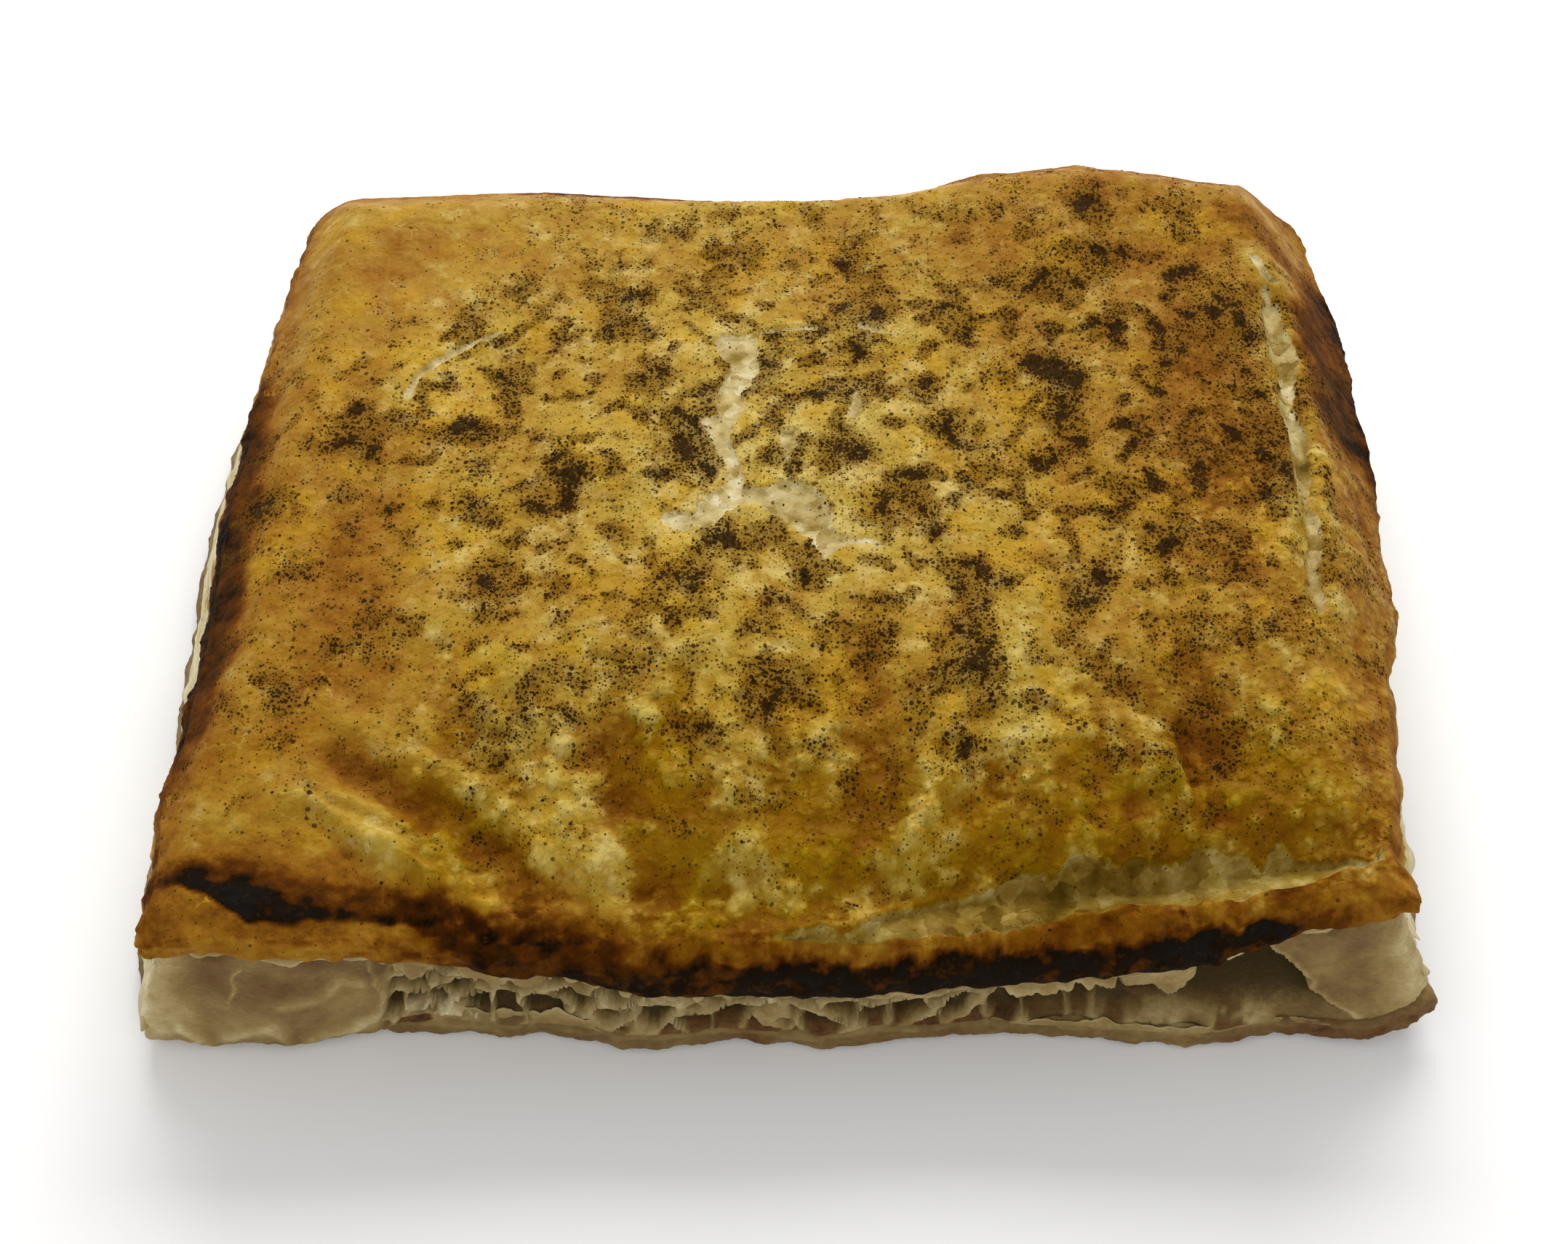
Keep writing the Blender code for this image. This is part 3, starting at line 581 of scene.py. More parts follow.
def topSurface(a, b):
    # Points of the top sheet and the marks that its finish reads
    x, y = topPlan(a, b)
    inner = 1 - np.maximum(np.abs(a), np.abs(b)) ** 10
    height = domeHeight(x, y) + crackGroove(x, y)
    relief = sum(rise * bumps(x, y, 5, grain) for grain, rise in sliceShape["softRelief"])
    foldX, foldY = stirred(x, y, 0.7, 2.6, (97, 99))
    foldRise = sum(
        rise * hill(lineDistance(foldX, foldY, start, end), width)
        for start, end, rise, width in topSheet["folds"]
    )
    height += inner * (relief + foldRise)
    height += sum(
        rise * smooth(radius, radius * 0.3, np.hypot(x - cx, y - cy))
        for cx, cy, radius, rise in topSheet["blisters"]
    )

    warpX, warpY = stirred(x, y, 1.0, 3.2, (11, 12))
    grain = topSheet["lumpGrain"]
    lumps = np.abs(bumps(warpX, warpY, 20, grain)) + 0.5 * np.abs(bumps(warpX, warpY, 24, grain / 2)) - 0.28
    grit = bumps(x, y, 30, 1.1) + 0.6 * bumps(x, y, 33, 0.6)
    pearls = pearlRise(x, y)
    lumpy = lumpiness(x, y, 0.35)
    fine = lumpy * (topSheet["lumpRise"] * lumps + pearls) + topSheet["gritRise"] * grit

    tear, gap = torn(x, y), crescent(x, y)
    tearOff, gapOff = smooth(-0.1, 0.3, tear), smooth(-0.1, 0.5, gap)
    skinOff = np.maximum(tearOff, gapOff)
    fine = fine * (1 - 0.5 * skinOff)
    height += fine - np.maximum(topSheet["tearDepth"] * tearOff, topSheet["gapDepth"] * gapOff)
    # The skin curls up a little beside a tear and behind the gap
    height += 0.16 * hill(tear + 0.5, 0.4) * inner + 0.35 * hill(gap + 0.5, 0.45)
    height += 0.22 * skinOff * bumps(x * 2, y, 36, 2.6)
    fall, width = topSheet["crestFall"]
    height -= fall * hill(y - along(sliceShape["topFront"], x), width) * smooth(-8, -16, x)
    # The crest of the front lip is lumpy too
    crest = hill(y - along(topSheet["lipCrest"], x), 1.5) * smooth(-20, -6, x)
    height += topSheet["crestLumps"] * bumps(x, y, 38, 1.9) * crest
    # Risen pearls are painted a little paler: a painted highlight
    tone = topTone(x, y) - 0.14 * hill(np.minimum(tear, 0), 2.4) - 0.02 * pearls
    # Folds are painted paler on top and darker in the hollow, a painted highlight and painted shade, but
    # not where the glaze is burnt
    foldShade = np.clip(foldRise, -0.8, 1) * (0.12 - 0.03 * np.sign(foldRise))
    tone = tone - foldShade * (1 - smooth(0.62, 0.8, tone))
    # The gap's tone is darkened as painted shade, since the gap lies in the lip's shade
    gapShade = along(topSheet["gapShadeTone"], x) + 0.14 * bumps(x, y * 0.5, 39, 3.0)
    gapShade = gapShade + 0.08 * bumps(x, y * 0.5, 42, 1.1)
    milky = topSheet["tearTone"] + 0.24 * bumps(x, y, 40, 4.0) + 0.22 * bumps(x, y, 43, 1.5)
    milky = milky + smooth(50, 56, x) * (0.04 + 0.10 * smooth(12, 0, y))
    # The amber is partly thick glaze and partly painted shade of the front slope, paler on raised places
    amberAndShade = amberAndShadeShare(x, y, pearls + lumps * lumpy + foldRise) * (1 - skinOff)
    return x, y, height, {
        # The relief mark paints raised places paler and hollows darker in the finish: painted highlight and
        # painted shade
        "relief": fine * 2.0 + foldRise * 0.35 + relief * 0.25,
        "pale": np.maximum(tear, gap),
        "tone": mix(tone, mix(milky, gapShade, gapOff), skinOff),
        "pepper": pepperDensity(x, y) * (1 - skinOff),
        # The pale gap takes half the amber as painted shade
        "amberAndShade": np.maximum(amberAndShade, 0.5 * gapOff),
        "lumpy": lumpiness(x, y, 1.0) * (1 - skinOff),
    }


def amberAndShadeShare(x, y, raised):
    # Where the glaze has run thick and dark, in the hollows of the front slope, together with painted shade
    # that darkens the slope towards the front and leaves raised places paler
    share = smooth(-22, -43, y) * (0.85 + 0.5 * bumps(x, y, 95, 7.0))
    for cx, cy, width, depth, more in topSheet["amberAndShade"]:
        share = share + more * hill(x - cx, width) * hill(y - cy, depth)
    share = share * smooth(-46, -36, x) * (1 - 0.6 * smooth(52, 64, x))
    return np.clip(share - 0.45 * smooth(0.15, 0.5, raised), 0, 1)


def pearlRise(x, y):
    # Irregular lumps of risen pastry in two sizes, in drifts
    rise = 0
    for grain, height, seed in topSheet["pearls"]:
        warpX, warpY = stirred(x, y, 0.28 * grain, grain * 0.5, (seed + 2, seed + 4))
        points = np.stack((warpX, warpY, np.full(np.shape(x), seed)), -1).reshape(-1, 3) / grain
        nearest = np.array([noise.voronoi(point)[0][0] for point in points.tolist()]).reshape(np.shape(x))
        rise = rise + height * smooth(0.5, 0.24, nearest) * smooth(-0.15, 0.2, bumps(x, y, seed, 8.0))
    return rise


def topTone(x, y):
    # How far the glaze is baked, from 0 pale to 1 black
    baking = topSheet["baking"]
    tone = baking["tone"] + mounds(x, y, baking["mounds"])
    for side, inward in sidesInward(x, y).items():
        tone = tone + baking["rim"][side] * hill(inward, baking["rimWidth"])
    warpX, warpY = x + 2.0 * bumps(x, y, 51, 4.0), y + 1.2 * bumps(x, y, 52, 3.0)
    for outline, amount, soft in topSheet["burns"]:
        tone = tone + amount * smooth(-soft / 2, soft / 2, insideDepth(warpX, warpY, outline))
    tone = tone + 0.08 * bumps(x, y, 54, 11.0) + 0.05 * bumps(x, y, 57, 4.0)

    # The front left burn has a soft upper side, streaked along the rim, and a sharp lower one
    top, low, core = (along(topSheet["frontBurn"][line], x) for line in ("top", "low", "core"))
    streaks = bumps(x * 0.35, y, 62, 0.9)
    above = smooth(-0.2, 0.5, y - low + 0.5 * bumps(x, y, 63, 2.0))
    band = above * smooth(-1.2, 1.6, top - y + 0.9 * bumps(x, y, 65, 3.0) + 0.6 * streaks)
    heart = above * smooth(-0.3, 1.1, core - y + 0.5 * bumps(x, y, 66, 3.0) + 0.5 * streaks)
    fringe = smooth(-4.5, -0.5, top - y + 1.5 * bumps(x, y, 69, 3.0)) * smooth(-66, -52, x)
    tone = tone + 0.10 * (1 - above) * smooth(-34, -44, x) * smooth(-46, -50, y)
    tone = tone + above * 0.11 * fringe * smooth(-12, -24, x)
    tone = mix(tone, 0.80 + 0.09 * streaks, above * band * smooth(-8, -18, x))
    tone = mix(tone, 0.94 + 0.14 * streaks, heart * smooth(-36, -46, x))

    # Behind the crest of the front lip the crust is orange brown, in ragged lumps
    lip = 1 - smooth(0.0, 1.4, y - along(topSheet["lipCrest"], x) + 0.6 * bumps(x, y, 67, 1.6))
    return mix(tone, 0.60 + 0.16 * bumps(x, y, 68, 2.4), lip * smooth(-14, -4, x))


def rollTone(columns, rimTone, share, x, y, z):
    # The tone down the rolled rim. The front lip is orange brown along its brow, burnt on its face and pale
    # along its lower edge
    lipFace, lipBrow = (along(topSheet["lipTone"][part], columns["topX"]) for part in ("face", "brow"))
    ragged = 0.10 * bumps(x, y, z, 2.2) + 0.06 * bumps(x, y, z, 0.9)
    browEnd = 0.22 - 0.15 * hill(columns["topX"] - 12, 34)
    face = mix(lipBrow, lipFace, smooth(browEnd, browEnd + 0.2, share + ragged))
    face = mix(rimTone, face, smooth(0.0, 0.3, share + 1.5 * ragged))
    for cx, wide in topSheet["lipBurns"]:
        face = face + 0.30 * hill(x - cx + 16 * ragged, wide) * hill(share - 0.36 + 3 * ragged, 0.26)
    face = mix(face, 0.30, smooth(0.90, 1.0, share + 0.4 * ragged))
    edge = mix(rimTone + 0.04, 0.28, smooth(0.45, 0.95, share + ragged))
    return mix(edge, face, columns["front"]) + 0.07 * bumps(x, y, z, 2.0)


def buildTopSheet():
    across, deep = topSheet["cellsAcross"], topSheet["cellsDeep"]
    a, b = np.meshgrid(crowded(np.linspace(-1, 1, across + 1)), crowded(np.linspace(-1, 1, deep + 1)))
    x, y, height, marks = topSurface(a.ravel(), b.ravel())
    points = [np.stack((x, y, height), -1)]
    faces = gridFaces(deep + 1, across + 1)

    # The rim rolls over in rings, which end tucked in under the crust
    index = np.arange((across + 1) * (deep + 1)).reshape(deep + 1, across + 1)
    rim = np.concatenate((index[0, :-1], index[:-1, -1], index[-1, :0:-1], index[:0:-1, 0]))
    columns = rimColumns(across, deep)
    columns["crest"] = height[rim]
    columns["edgeLow"] = np.minimum(columns["edgeLow"], columns["crest"] - 2.2)
    rings = [(((ring + 1) / topSheet["rollRings"]) ** 1.25, None) for ring in range(topSheet["rollRings"])]
    rings += list(topSheet["tuckedUnder"])
    count = len(rim)
    ringMarks = {name: [values] for name, values in marks.items()}
    for share, reach in rings:
        out = columns["edgeReach"] * along(topSheet["roll"], share) if reach is None else reach
        where = outFrom(columns, mix(columns["crest"], columns["edgeLow"], share), out)
        x, y, z = where.T.copy()
        fibres = bumps(x * 0.3, y, z * 1.6, 0.9)  # these run along the rim
        crags = 0.55 * bumps(x, y, z * 1.6, 3.2) + 0.3 * bumps(x, y, z * 2, 1.3) + 0.22 * fibres
        crags *= smooth(0, 0.15, share) * (1 - 0.5 * smooth(1.0, 1.02, share))
        where[:, 0] += columns["outX"] * crags
        where[:, 1] += columns["outY"] * crags
        where[:, 2] += 0.35 * bumps(x, y, 90, 2.4) * smooth(0, 0.3, share)
        points.append(where)
        tone = rollTone(columns, marks["tone"][rim], share, x, y, z) + 0.06 * fibres
        ringMarks["tone"].append(mix(tone, 0.30, smooth(1.0, 1.02, share)))
        ringMarks["pale"].append(np.full(count, -1.0 if share < 1.0 else 0.6))
        ringMarks["pepper"].append(marks["pepper"][rim] * (1 - share) * 0.5)
        ringMarks["relief"].append(crags * 0.6)
        ringMarks["amberAndShade"].append(marks["amberAndShade"][rim] * (1 - smooth(0.0, 0.5, share)))
        ringMarks["lumpy"].append(np.full(count, 0.5))
    # The last ring lies level, so that the face which closes it stays deep inside
    where[:, 2] = np.minimum(where[:, 2], topSheet["innerLevel"])
    ringIndex = np.concatenate((rim, len(points[0]) + np.arange(count * len(rings)))).tolist()
    for face in gridFaces(len(rings) + 1, count, closed=True):
        faces.append(tuple(ringIndex[face[corner]] for corner in (1, 0, 3, 2)))  # turned to look outward
    faces.append(tuple(ringIndex[-count:]))
    marks = {name: np.concatenate(values) for name, values in ringMarks.items()}
    return addPiece("top_sheet", np.concatenate(points), faces, marks)


# The flaky sides, between the crust and the base sheet

sideCore = {
    "cellsAcross": 420,
    "cellsDeep": 150,
    "levels": 44,
    "layers": ((0, 2), (0.16, 1.2), (0.34, 1.6), (0.5, 0.9), (0.72, 1.6), (1, 0.4)),
    "wave": (0.7, 15),
    "crags": (1.3, 5),
    "leastSetback": 0.3,
    "setback": {"front": 1, "left": 0.3, "right": 0.5, "back": 0.7},
    "cellSize": (4.2, 3.6),  # across and up, at the front
    "layerGap": 1.7,  # the cells' height on the other sides
    "cellDepth": {"front": 4.4, "left": 0.9, "right": 1, "back": 1.2},
    "innerLevel": 9,
    "smoothWall": {"from": -44.4, "to": -42.4, "setback": 1.4},
    "panelFrom": 54,  # where the pale panel right of the opening begins
    "hollow": {"from": 22, "depth": 7.5, "softEnd": 9, "roof": 0.72, "sill": 1},
    # The front side is painted darker than the others, partly as painted shade under the overhanging lip
    "tone": {"front": 0.71, "left": 0.02, "right": 0.2, "back": 0.28},
    "wrinkles": (  # of the front left wall: (path of x and height, rise, half width)
        (((-53.5, 8.5), (-49.3, 9), (-46.9, 11.4), (-44.8, 10.9)), 0.4, 0.8),
        (((-64.8, 4.3), (-62.7, 1.4), (-61.2, 0.5)), 0.35, 0.7),
        (((-60.3, 2.4), (-57.3, 3.8), (-54.6, 4.7)), 0.3, 0.9),
        (((-61.2, 15.7), (-61.9, 9), (-61.5, 3)), -0.4, 1.6), (((-55.2, 4.3), (-53.5, 0.9)), 0.3, 0.7),
        (((-51.7, 1.5), (-46.3, 2.8), (-43.3, 4.7)), 0.4, 0.8),
        (((-67.1, 16.2), (-67.4, 11.9), (-67.9, 7.6), (-68.4, 6.2)), 0.45, 0.35),
        (((-57, 14.2), (-58.1, 12.8), (-58.2, 10.5), (-58.8, 9.3)), 0.35, 0.25),
        (((-43.4, 16.2), (-43.1, 10.5), (-42.8, 8.1), (-43.1, 5.2), (-42.5, 3.3)), 0.6, 0.35),
        (((-37.5, 3.6), (-35, 6.2), (-34, 9)), 0.8, 0.35), (((-41, 5), (-37, 4.4), (-33, 3.6)), 0.7, 0.35),
    ),
}


def smoothWall(columns, x):
    # How much of the side is a smooth skin here: the front left wall and the panel at the front right
    wall = sideCore["smoothWall"]
    return columns["front"] * np.maximum(1 - smooth(wall["from"], wall["to"], x), panelShare(x, 0.0))


def panelShare(x, share):
    # The pale panel right of the opening: its torn left edge runs down to the right
    edge = sideCore["panelFrom"] + 8.5 * share**1.6
    edge = edge + 0.9 * bumps(share * 9, x * 0.0, 4, 1.6) + 0.5 * bumps(share * 9, x * 0.0, 7, 0.6)
    return smooth(-0.6, 0.6, x - edge)


def panelEdge(x, share):
    # The torn edge itself, thin and pale
    inner, outer = panelShare(x, share), panelShare(x - 1.1, share)
    return inner * (1 - outer)


def hollowDepth(columns, share):
    # How deep the torn opening at the front right is
    hollow = sideCore["hollow"]
    x = columns["baseX"]
    length = smooth(hollow["from"], hollow["from"] + hollow["softEnd"], x) * (1 - panelShare(x, share))
    return columns["front"] * hollow["depth"] * length * (1 - smooth(hollow["roof"], hollow["sill"], share))


def wallSetback(columns, share):
    # How far the wall stands back, by the share of its height down from the crust
    x, y = columns["baseX"], columns["baseY"]
    wave = sideCore["wave"][0] * bumps(x, y, share * 9, sideCore["wave"][1])
    crags = sideCore["crags"][0] * bumps(x, y, share * 14, sideCore["crags"][1])
    back = (along(sideCore["layers"], share) + wave + crags) * bySide(columns, sideCore["setback"])
    calmBack = sideCore["smoothWall"]["setback"] * (1 - smooth(0.2, 0.8, share))
    back = mix(back, calmBack + 0.9 * smooth(0.93, 1.0, share), smoothWall(columns, x))
    return np.maximum(back + hollowDepth(columns, share), sideCore["leastSetback"])


def wrinkles(columns, x, z, warp):
    # The rise of the front left wall's wrinkles, and where they draw a pale line: partly pale torn edges,
    # partly a painted highlight on their ridges
    rises = np.zeros(len(x))
    paleLineAndHighlight = np.zeros(len(x))
    for path, rise, halfWidth in sideCore["wrinkles"]:
        near = hill(pathDistance(x + 0.5 * warp, z + 0.3 * warp, path), halfWidth) * columns["front"]
        rises += rise * near
        paleLineAndHighlight += near if rise > 0 else 0
    return rises, np.clip(paleLineAndHighlight, 0, 1)


def buildSideCore():
    columns = rimColumns(sideCore["cellsAcross"], sideCore["cellsDeep"])
    front = columns["front"]
    calm = smoothWall(columns, columns["baseX"])
    wide, tall = sideCore["cellSize"]
    tall = mix(sideCore["layerGap"], tall, front)
    points, marks = [], {"tone": [], "pitAndShade": []}
    # Rows as (share of the wall's height, how far it is tucked in): both ends are hidden
    wallRows = [(share, 0.0) for share in np.linspace(0, 1, sideCore["levels"])]
    wallRows = [(0.0, 5.0), (0.0, 1.5)] + wallRows + [(1.02, 1.5)]
    for share, tuck in wallRows:
        height = wallHeight(columns, share)
        back = wallSetback(columns, share)
        x, y, z = wallPoint(columns, height, -back).T
        warp = 0.9 * bumps(x, y, z * 1.5, 3.4) + 0.4 * bumps(x, y, z * 1.5, 1.3)
        cell = cells(x + warp, y * 0.4 + warp, (z + warp * 0.7) * wide / tall, wide)
        inside = hollowDepth(columns, share)
        # Open cells between the layers, shallow in the opening and on the lower right of the front
        pitAndShade = smooth(0.04, 0.22, cell) * (1 - calm) * smooth(0.0, 0.12, share)
        pitAndShade = pitAndShade * (1 - smooth(0.9, 1.0, share)) * (1 - 0.8 * smooth(0.5, 3.0, inside))
        pitAndShade = pitAndShade * (1 - smooth(36, 41, x) * smooth(0.3, 0.5, share) * front)
        depth = bySide(columns, sideCore["cellDepth"]) * pitAndShade * (0.45 + 1.3 * np.abs(bumps(x, y, z, 5)))
        fine = 0.20 * bumps(x, y, z * 2.2, 1.5) + 0.10 * bumps(x, y, z * 2.0, 0.6)
        wrinkle, paleLineAndHighlight = wrinkles(columns, x, z, warp)
        soft = 0.35 * bumps(x, z * 1.3, y, 7.0) + 0.22 * (0.5 - np.abs(bumps(x, z * 1.4, y + 9, 4.0)) * 2)
        points.append(wallPoint(columns, height, -back - depth + fine + wrinkle + soft * calm - tuck))
        # Painted shade: the deeper a cell, the darker, and dark inside the hollow
        paintedShade = pitAndShade * (0.12 + 0.23 * front + 0.65 * smooth(0.3, 2.0, depth))
        marks["pitAndShade"].append(paintedShade + 0.9 * smooth(0.5, 5, inside))

        tone = bySide(columns, sideCore["tone"]) + 0.14 * bumps(x, y, z, 6.0) + 0.07 * bumps(x, y, z, 2.0)
        # Darker inside the hollow, as painted shade, and darker towards the bottom of the wall
        tone = tone + 0.10 * smooth(1.0, 5.0, inside) + 0.10 * smooth(0.86, 1.0, share)
        tone = tone - 0.13 * front * smooth(0.35, 0.8, share) * calm
        fringe = 1 - smooth(0.05, 0.15, share + 0.07 * bumps(x, y, z * 0.5, 3.0))
        tone = tone - (0.05 + 0.28 * fringe) * calm * front
        # The webs between the cells, the wrinkles and the panel's torn edge are pale; on the wrinkles'
        # ridges this is partly a painted highlight
        web = (1 - smooth(0.06, 0.2, cell)) * (1 - calm) * (1 - smooth(0.5, 3.0, inside))
        tone = tone - 0.42 * front * web - 0.24 * paleLineAndHighlight
        marks["tone"].append(tone - 0.30 * front * panelEdge(columns["baseX"], share))
    # The first row lies level, so that the face which closes it stays deep inside
    points[0][:, 2] = np.minimum(points[0][:, 2], sideCore["innerLevel"])
    faces = shellFaces(len(points), len(front))
    marks = {name: np.concatenate(values) for name, values in marks.items()}
    return addPiece("side_layers", np.concatenate(points), faces, marks), columns


# The base sheet

baseSheet = {
    "profile": (  # (share of the thickness down from its upper face, reach out of its outline)
        (0, -9), (-0.04, -3), (0, -1.6), (0.04, -0.8), (0.12, -0.35), (0.22, -0.12), (0.35, -0.02),
        (0.5, 0.05), (0.65, 0.02), (0.8, -0.08), (0.92, -0.35), (1, -0.9), (1, -2.2),
    ),
    "roughness": (0.5, 2.4),
    "edgeClearance": 0.02,
    "tone": 0.66,
}


def buildBaseSheet(columns):
    count = len(columns["a"])
    points, tones = [], []
    rough, grain = baseSheet["roughness"]
    for share, reach in baseSheet["profile"]:
        height = columns["lift"] + sliceShape["baseSheet"] * (1 - share)
        x, y, z = outFrom(columns, height, reach).T
        crags = bumps(x, y, z * 1.4, grain) + 0.5 * bumps(x, y, z * 3, 0.9)
        reach = reach - 1.6 * wrapped(columns)
        points.append(outFrom(columns, height, reach + rough * crags * smooth(-9, -1, reach) - 0.1))
        patches = 0.14 * bumps(x, y, z, 5.0) + 0.10 * bumps(x, y, z * 3, 1.6)
        browned = 0.12 * smooth(40, 62, x) * columns["front"]
        tones.append(baseSheet["tone"] + patches + browned - 0.10 * (share < 0.3))
    # The underside: its face lies on the plate, a little in from the edge
    points[-1][:, 2] = np.maximum(points[-1][:, 2], baseSheet["edgeClearance"])
    points.append(outFrom(columns, np.zeros(count), -sliceShape["restInset"]))
    tones.append(np.full(count, 0.6))
    marks = {"tone": np.concatenate(tones), "pitAndShade": np.zeros(len(points) * count)}
    return addPiece("base_sheet", np.concatenate(points), shellFaces(len(points), count), marks)


# Thin torn sheets of pastry on the sides

flakes = {
    "thickness": 0.22,
    "rows": 8,
    "sideRows": 5,
    "step": 0.22,
    "tone": 0.22,
    "sideCount": 150,  # on the left, right and back
    "sideLength": (6, 22),
    "sideDrop": (0.5, 1.6),
    "sideBack": (0.1, 1.2),  # how far the upper edge lies behind the wall
    "frontSheets": (  # (from x, to x, start below the lip, drop, (out at the top, at the bottom), ragged)
        (-44, -24, -0.5, 4.6, (0.9, -0.8), 0.45), (-30, -6, -0.5, 2.6, (0.6, -0.6), 0.5),
        (24, 41, -0.5, 3.6, (1, 0.2), 0.5), (38, 47.5, -0.5, 6.4, (0.4, -1.2), 0.25),
    ),
    "rimSheets": (  # the same, but out from the low edge of the rim
        (-66, -41, -0.3, 2.5, (-0.1, -0.6), 0.28), (-43, -20, -0.3, 2.3, (-0.1, -0.8), 0.34),
        (-24, 28, -0.3, 1.5, (-0.1, -0.4), 0.34), (22, 45, -0.3, 1.9, (0, -0.3), 0.34),
        (40, 65, -0.3, 2, (0, -0.3), 0.34),
    ),
    "standingSheets": (  # on the base sheet: (from x, to x, height, (out at the foot, at the top), ragged)
        (-40, -14, 1.3, (-0.5, -1.2), 0.7), (22, 60, 0.7, (-0.3, -0.5), 0.6),
    ),
}


def raggedSheet(columns, positions, top, drop, out, ragged, seed, rim=False, rows=flakes["rows"]):
    # A thin closed sheet that hangs from the height top, with a torn lower edge. With a negative drop it
    # stands up. Its reach is measured from the wall, or from the low edge of the rim
    taken = takeColumns(columns, positions)
    count = len(positions)
    x, y = taken["baseX"], taken["baseY"]
    coarse = bumps(x, y, seed * 3.1, 4.5) + 0.7 * bumps(x, y, seed * 5.3, 1.7)
    arches = np.sin(np.pi * ((x + y) / 5.0 + 1.1 * bumps(x, y, seed * 2.3, 6.0))) ** 2
    frayed = np.abs(bumps(x, y, seed * 7.7, 1.0)) + 0.7 * np.abs(bumps(x, y, seed * 9.1, 0.45))
    jags = 0.6 * arches + 0.5 * frayed - 0.35
    ends = smooth(0, 0.12, np.linspace(0, 1, count)) * smooth(1, 0.88, np.linspace(0, 1, count))
    fall = drop * (0.35 + 0.65 * ends) * np.maximum(1 + ragged * (1.3 * coarse - jags), 0.10)
    points, tones = [], []
    for side in (0, 1):
        for row in range(rows):
            share = row / (rows - 1)
            height = top - fall * share
            wave = 0.5 * bumps(x, y, height * 0.8 + seed, 3.5) * (0.3 + share)
            wave += 0.25 * bumps(x, y, height + seed * 2, 1.4) * share
            thick = flakes["thickness"] * mix(1.0, 0.35, share) * side
            reach = mix(out[0], out[1], share) + wave - thick
            if rim:
                points.append(outFrom(taken, height, 0.4 * taken["edgeReach"] + reach))
            else:
                points.append(wallPoint(taken, height, reach))
            tone = 0.5 * (flakes["tone"] + bySide(taken, sideCore["tone"])) - 0.20 * share**5
            tones.append(tone + 0.14 * bumps(x, y, height + seed, 4.0))
    back = rows * count
    faces = [face[::-1] for face in gridFaces(rows, count)] + gridFaces(rows, count, start=back)
    for step in range(count - 1):
        last = (rows - 1) * count
        faces.append((step, step + 1, back + step + 1, back + step))
        faces.append((last + step + 1, last + step, back + last + step, back + last + step + 1))
    for row in range(rows - 1):
        near, far = row * count, (row + 1) * count
        faces.append((far, near, back + near, back + far))
        faces.append((near + count - 1, far + count - 1, back + far + count - 1, back + near + count - 1))
    return np.concatenate(points), faces, np.concatenate(tones)


def frontLine(columns, start, end):
    # Fractional columns of the front side between two values of x
    frontCount = sideCore["cellsAcross"]
    x = np.linspace(start, end, int((end - start) / flakes["step"]))
    return np.interp(x, columns["baseX"][:frontCount], np.arange(frontCount))


def buildFlakes(columns):
    draw = random.Random(23)
    points, faces, tones = [], [], []

    def add(made):
        start = sum(len(part) for part in points)
        points.append(made[0])
        faces.extend(tuple(corner + start for corner in face) for face in made[1])
        tones.append(made[2])

    hanging = flakes["frontSheets"] + flakes["rimSheets"]
    for number, (start, end, below, drop, out, ragged) in enumerate(hanging):
        positions = frontLine(columns, start, end)
        top = takeColumns(columns, positions)["edgeLow"] - below
        rim = number >= len(flakes["frontSheets"])
        add(raggedSheet(columns, positions, top, drop, out, ragged, number + 1.3, rim))
    for number, (start, end, height, out, ragged) in enumerate(flakes["standingSheets"]):
        positions = frontLine(columns, start, end)
        foot = takeColumns(columns, positions)["lift"] + sliceShape["baseSheet"] - 0.4
        add(raggedSheet(columns, positions, foot, -height, out, ragged, number + 11.7))

    # Flakes all round the other sides, in layers
    for number in range(flakes["sideCount"]):
        middle = draw.uniform(sideCore["cellsAcross"] + 8, len(columns["a"]) - 8)
        length = draw.uniform(*flakes["sideLength"])
        positions = np.linspace(middle - length, middle + length, int(length * 3.6))
        level = wallHeight(takeColumns(columns, positions), draw.uniform(0.02, 0.95))
        drop = draw.uniform(*flakes["sideDrop"]) * draw.choice((1, 1, -1))
        back = draw.uniform(*flakes["sideBack"])
        out = (-back - 0.5, -back + draw.uniform(0.0, 0.5))
        seed = 31.1 + number * 1.7
        add(raggedSheet(columns, positions, level, drop, out, 0.4, seed, rows=flakes["sideRows"]))
    marks = {"tone": np.concatenate(tones), "pitAndShade": np.zeros(sum(len(part) for part in points))}
    return addPiece("torn_sheets", np.concatenate(points), faces, marks)


def solidOf(kind):
    # Points and faces of a rough grain: an icosahedron, or an octahedron for dust
    if kind == "dust":
        points = np.array(((1, 0, 0), (0, 1, 0), (-1, 0, 0), (0, -1, 0), (0, 0, 1), (0, 0, -1)), float)
        faces = [(i, (i + 1) % 4, 4) for i in range(4)] + [((i + 1) % 4, i, 5) for i in range(4)]
        return points, faces
    up = 1 / math.sqrt(5)
    around = 2 * up
    points = [(0, 0, 1)]
    for shift, level in ((0, up), (0.5, -up)):  # the upper and the lower ring of five
        turns = [(i + shift) * math.tau / 5 for i in range(5)]
        points += [(around * math.cos(turn), around * math.sin(turn), level) for turn in turns]
    points += [(0, 0, -1)]
    faces = []
    for i in range(5):
        j = (i + 1) % 5
        faces += [(0, 1 + i, 1 + j), (1 + i, 6 + i, 1 + j), (1 + j, 6 + i, 6 + j), (11, 6 + j, 6 + i)]
    return np.array(points), faces


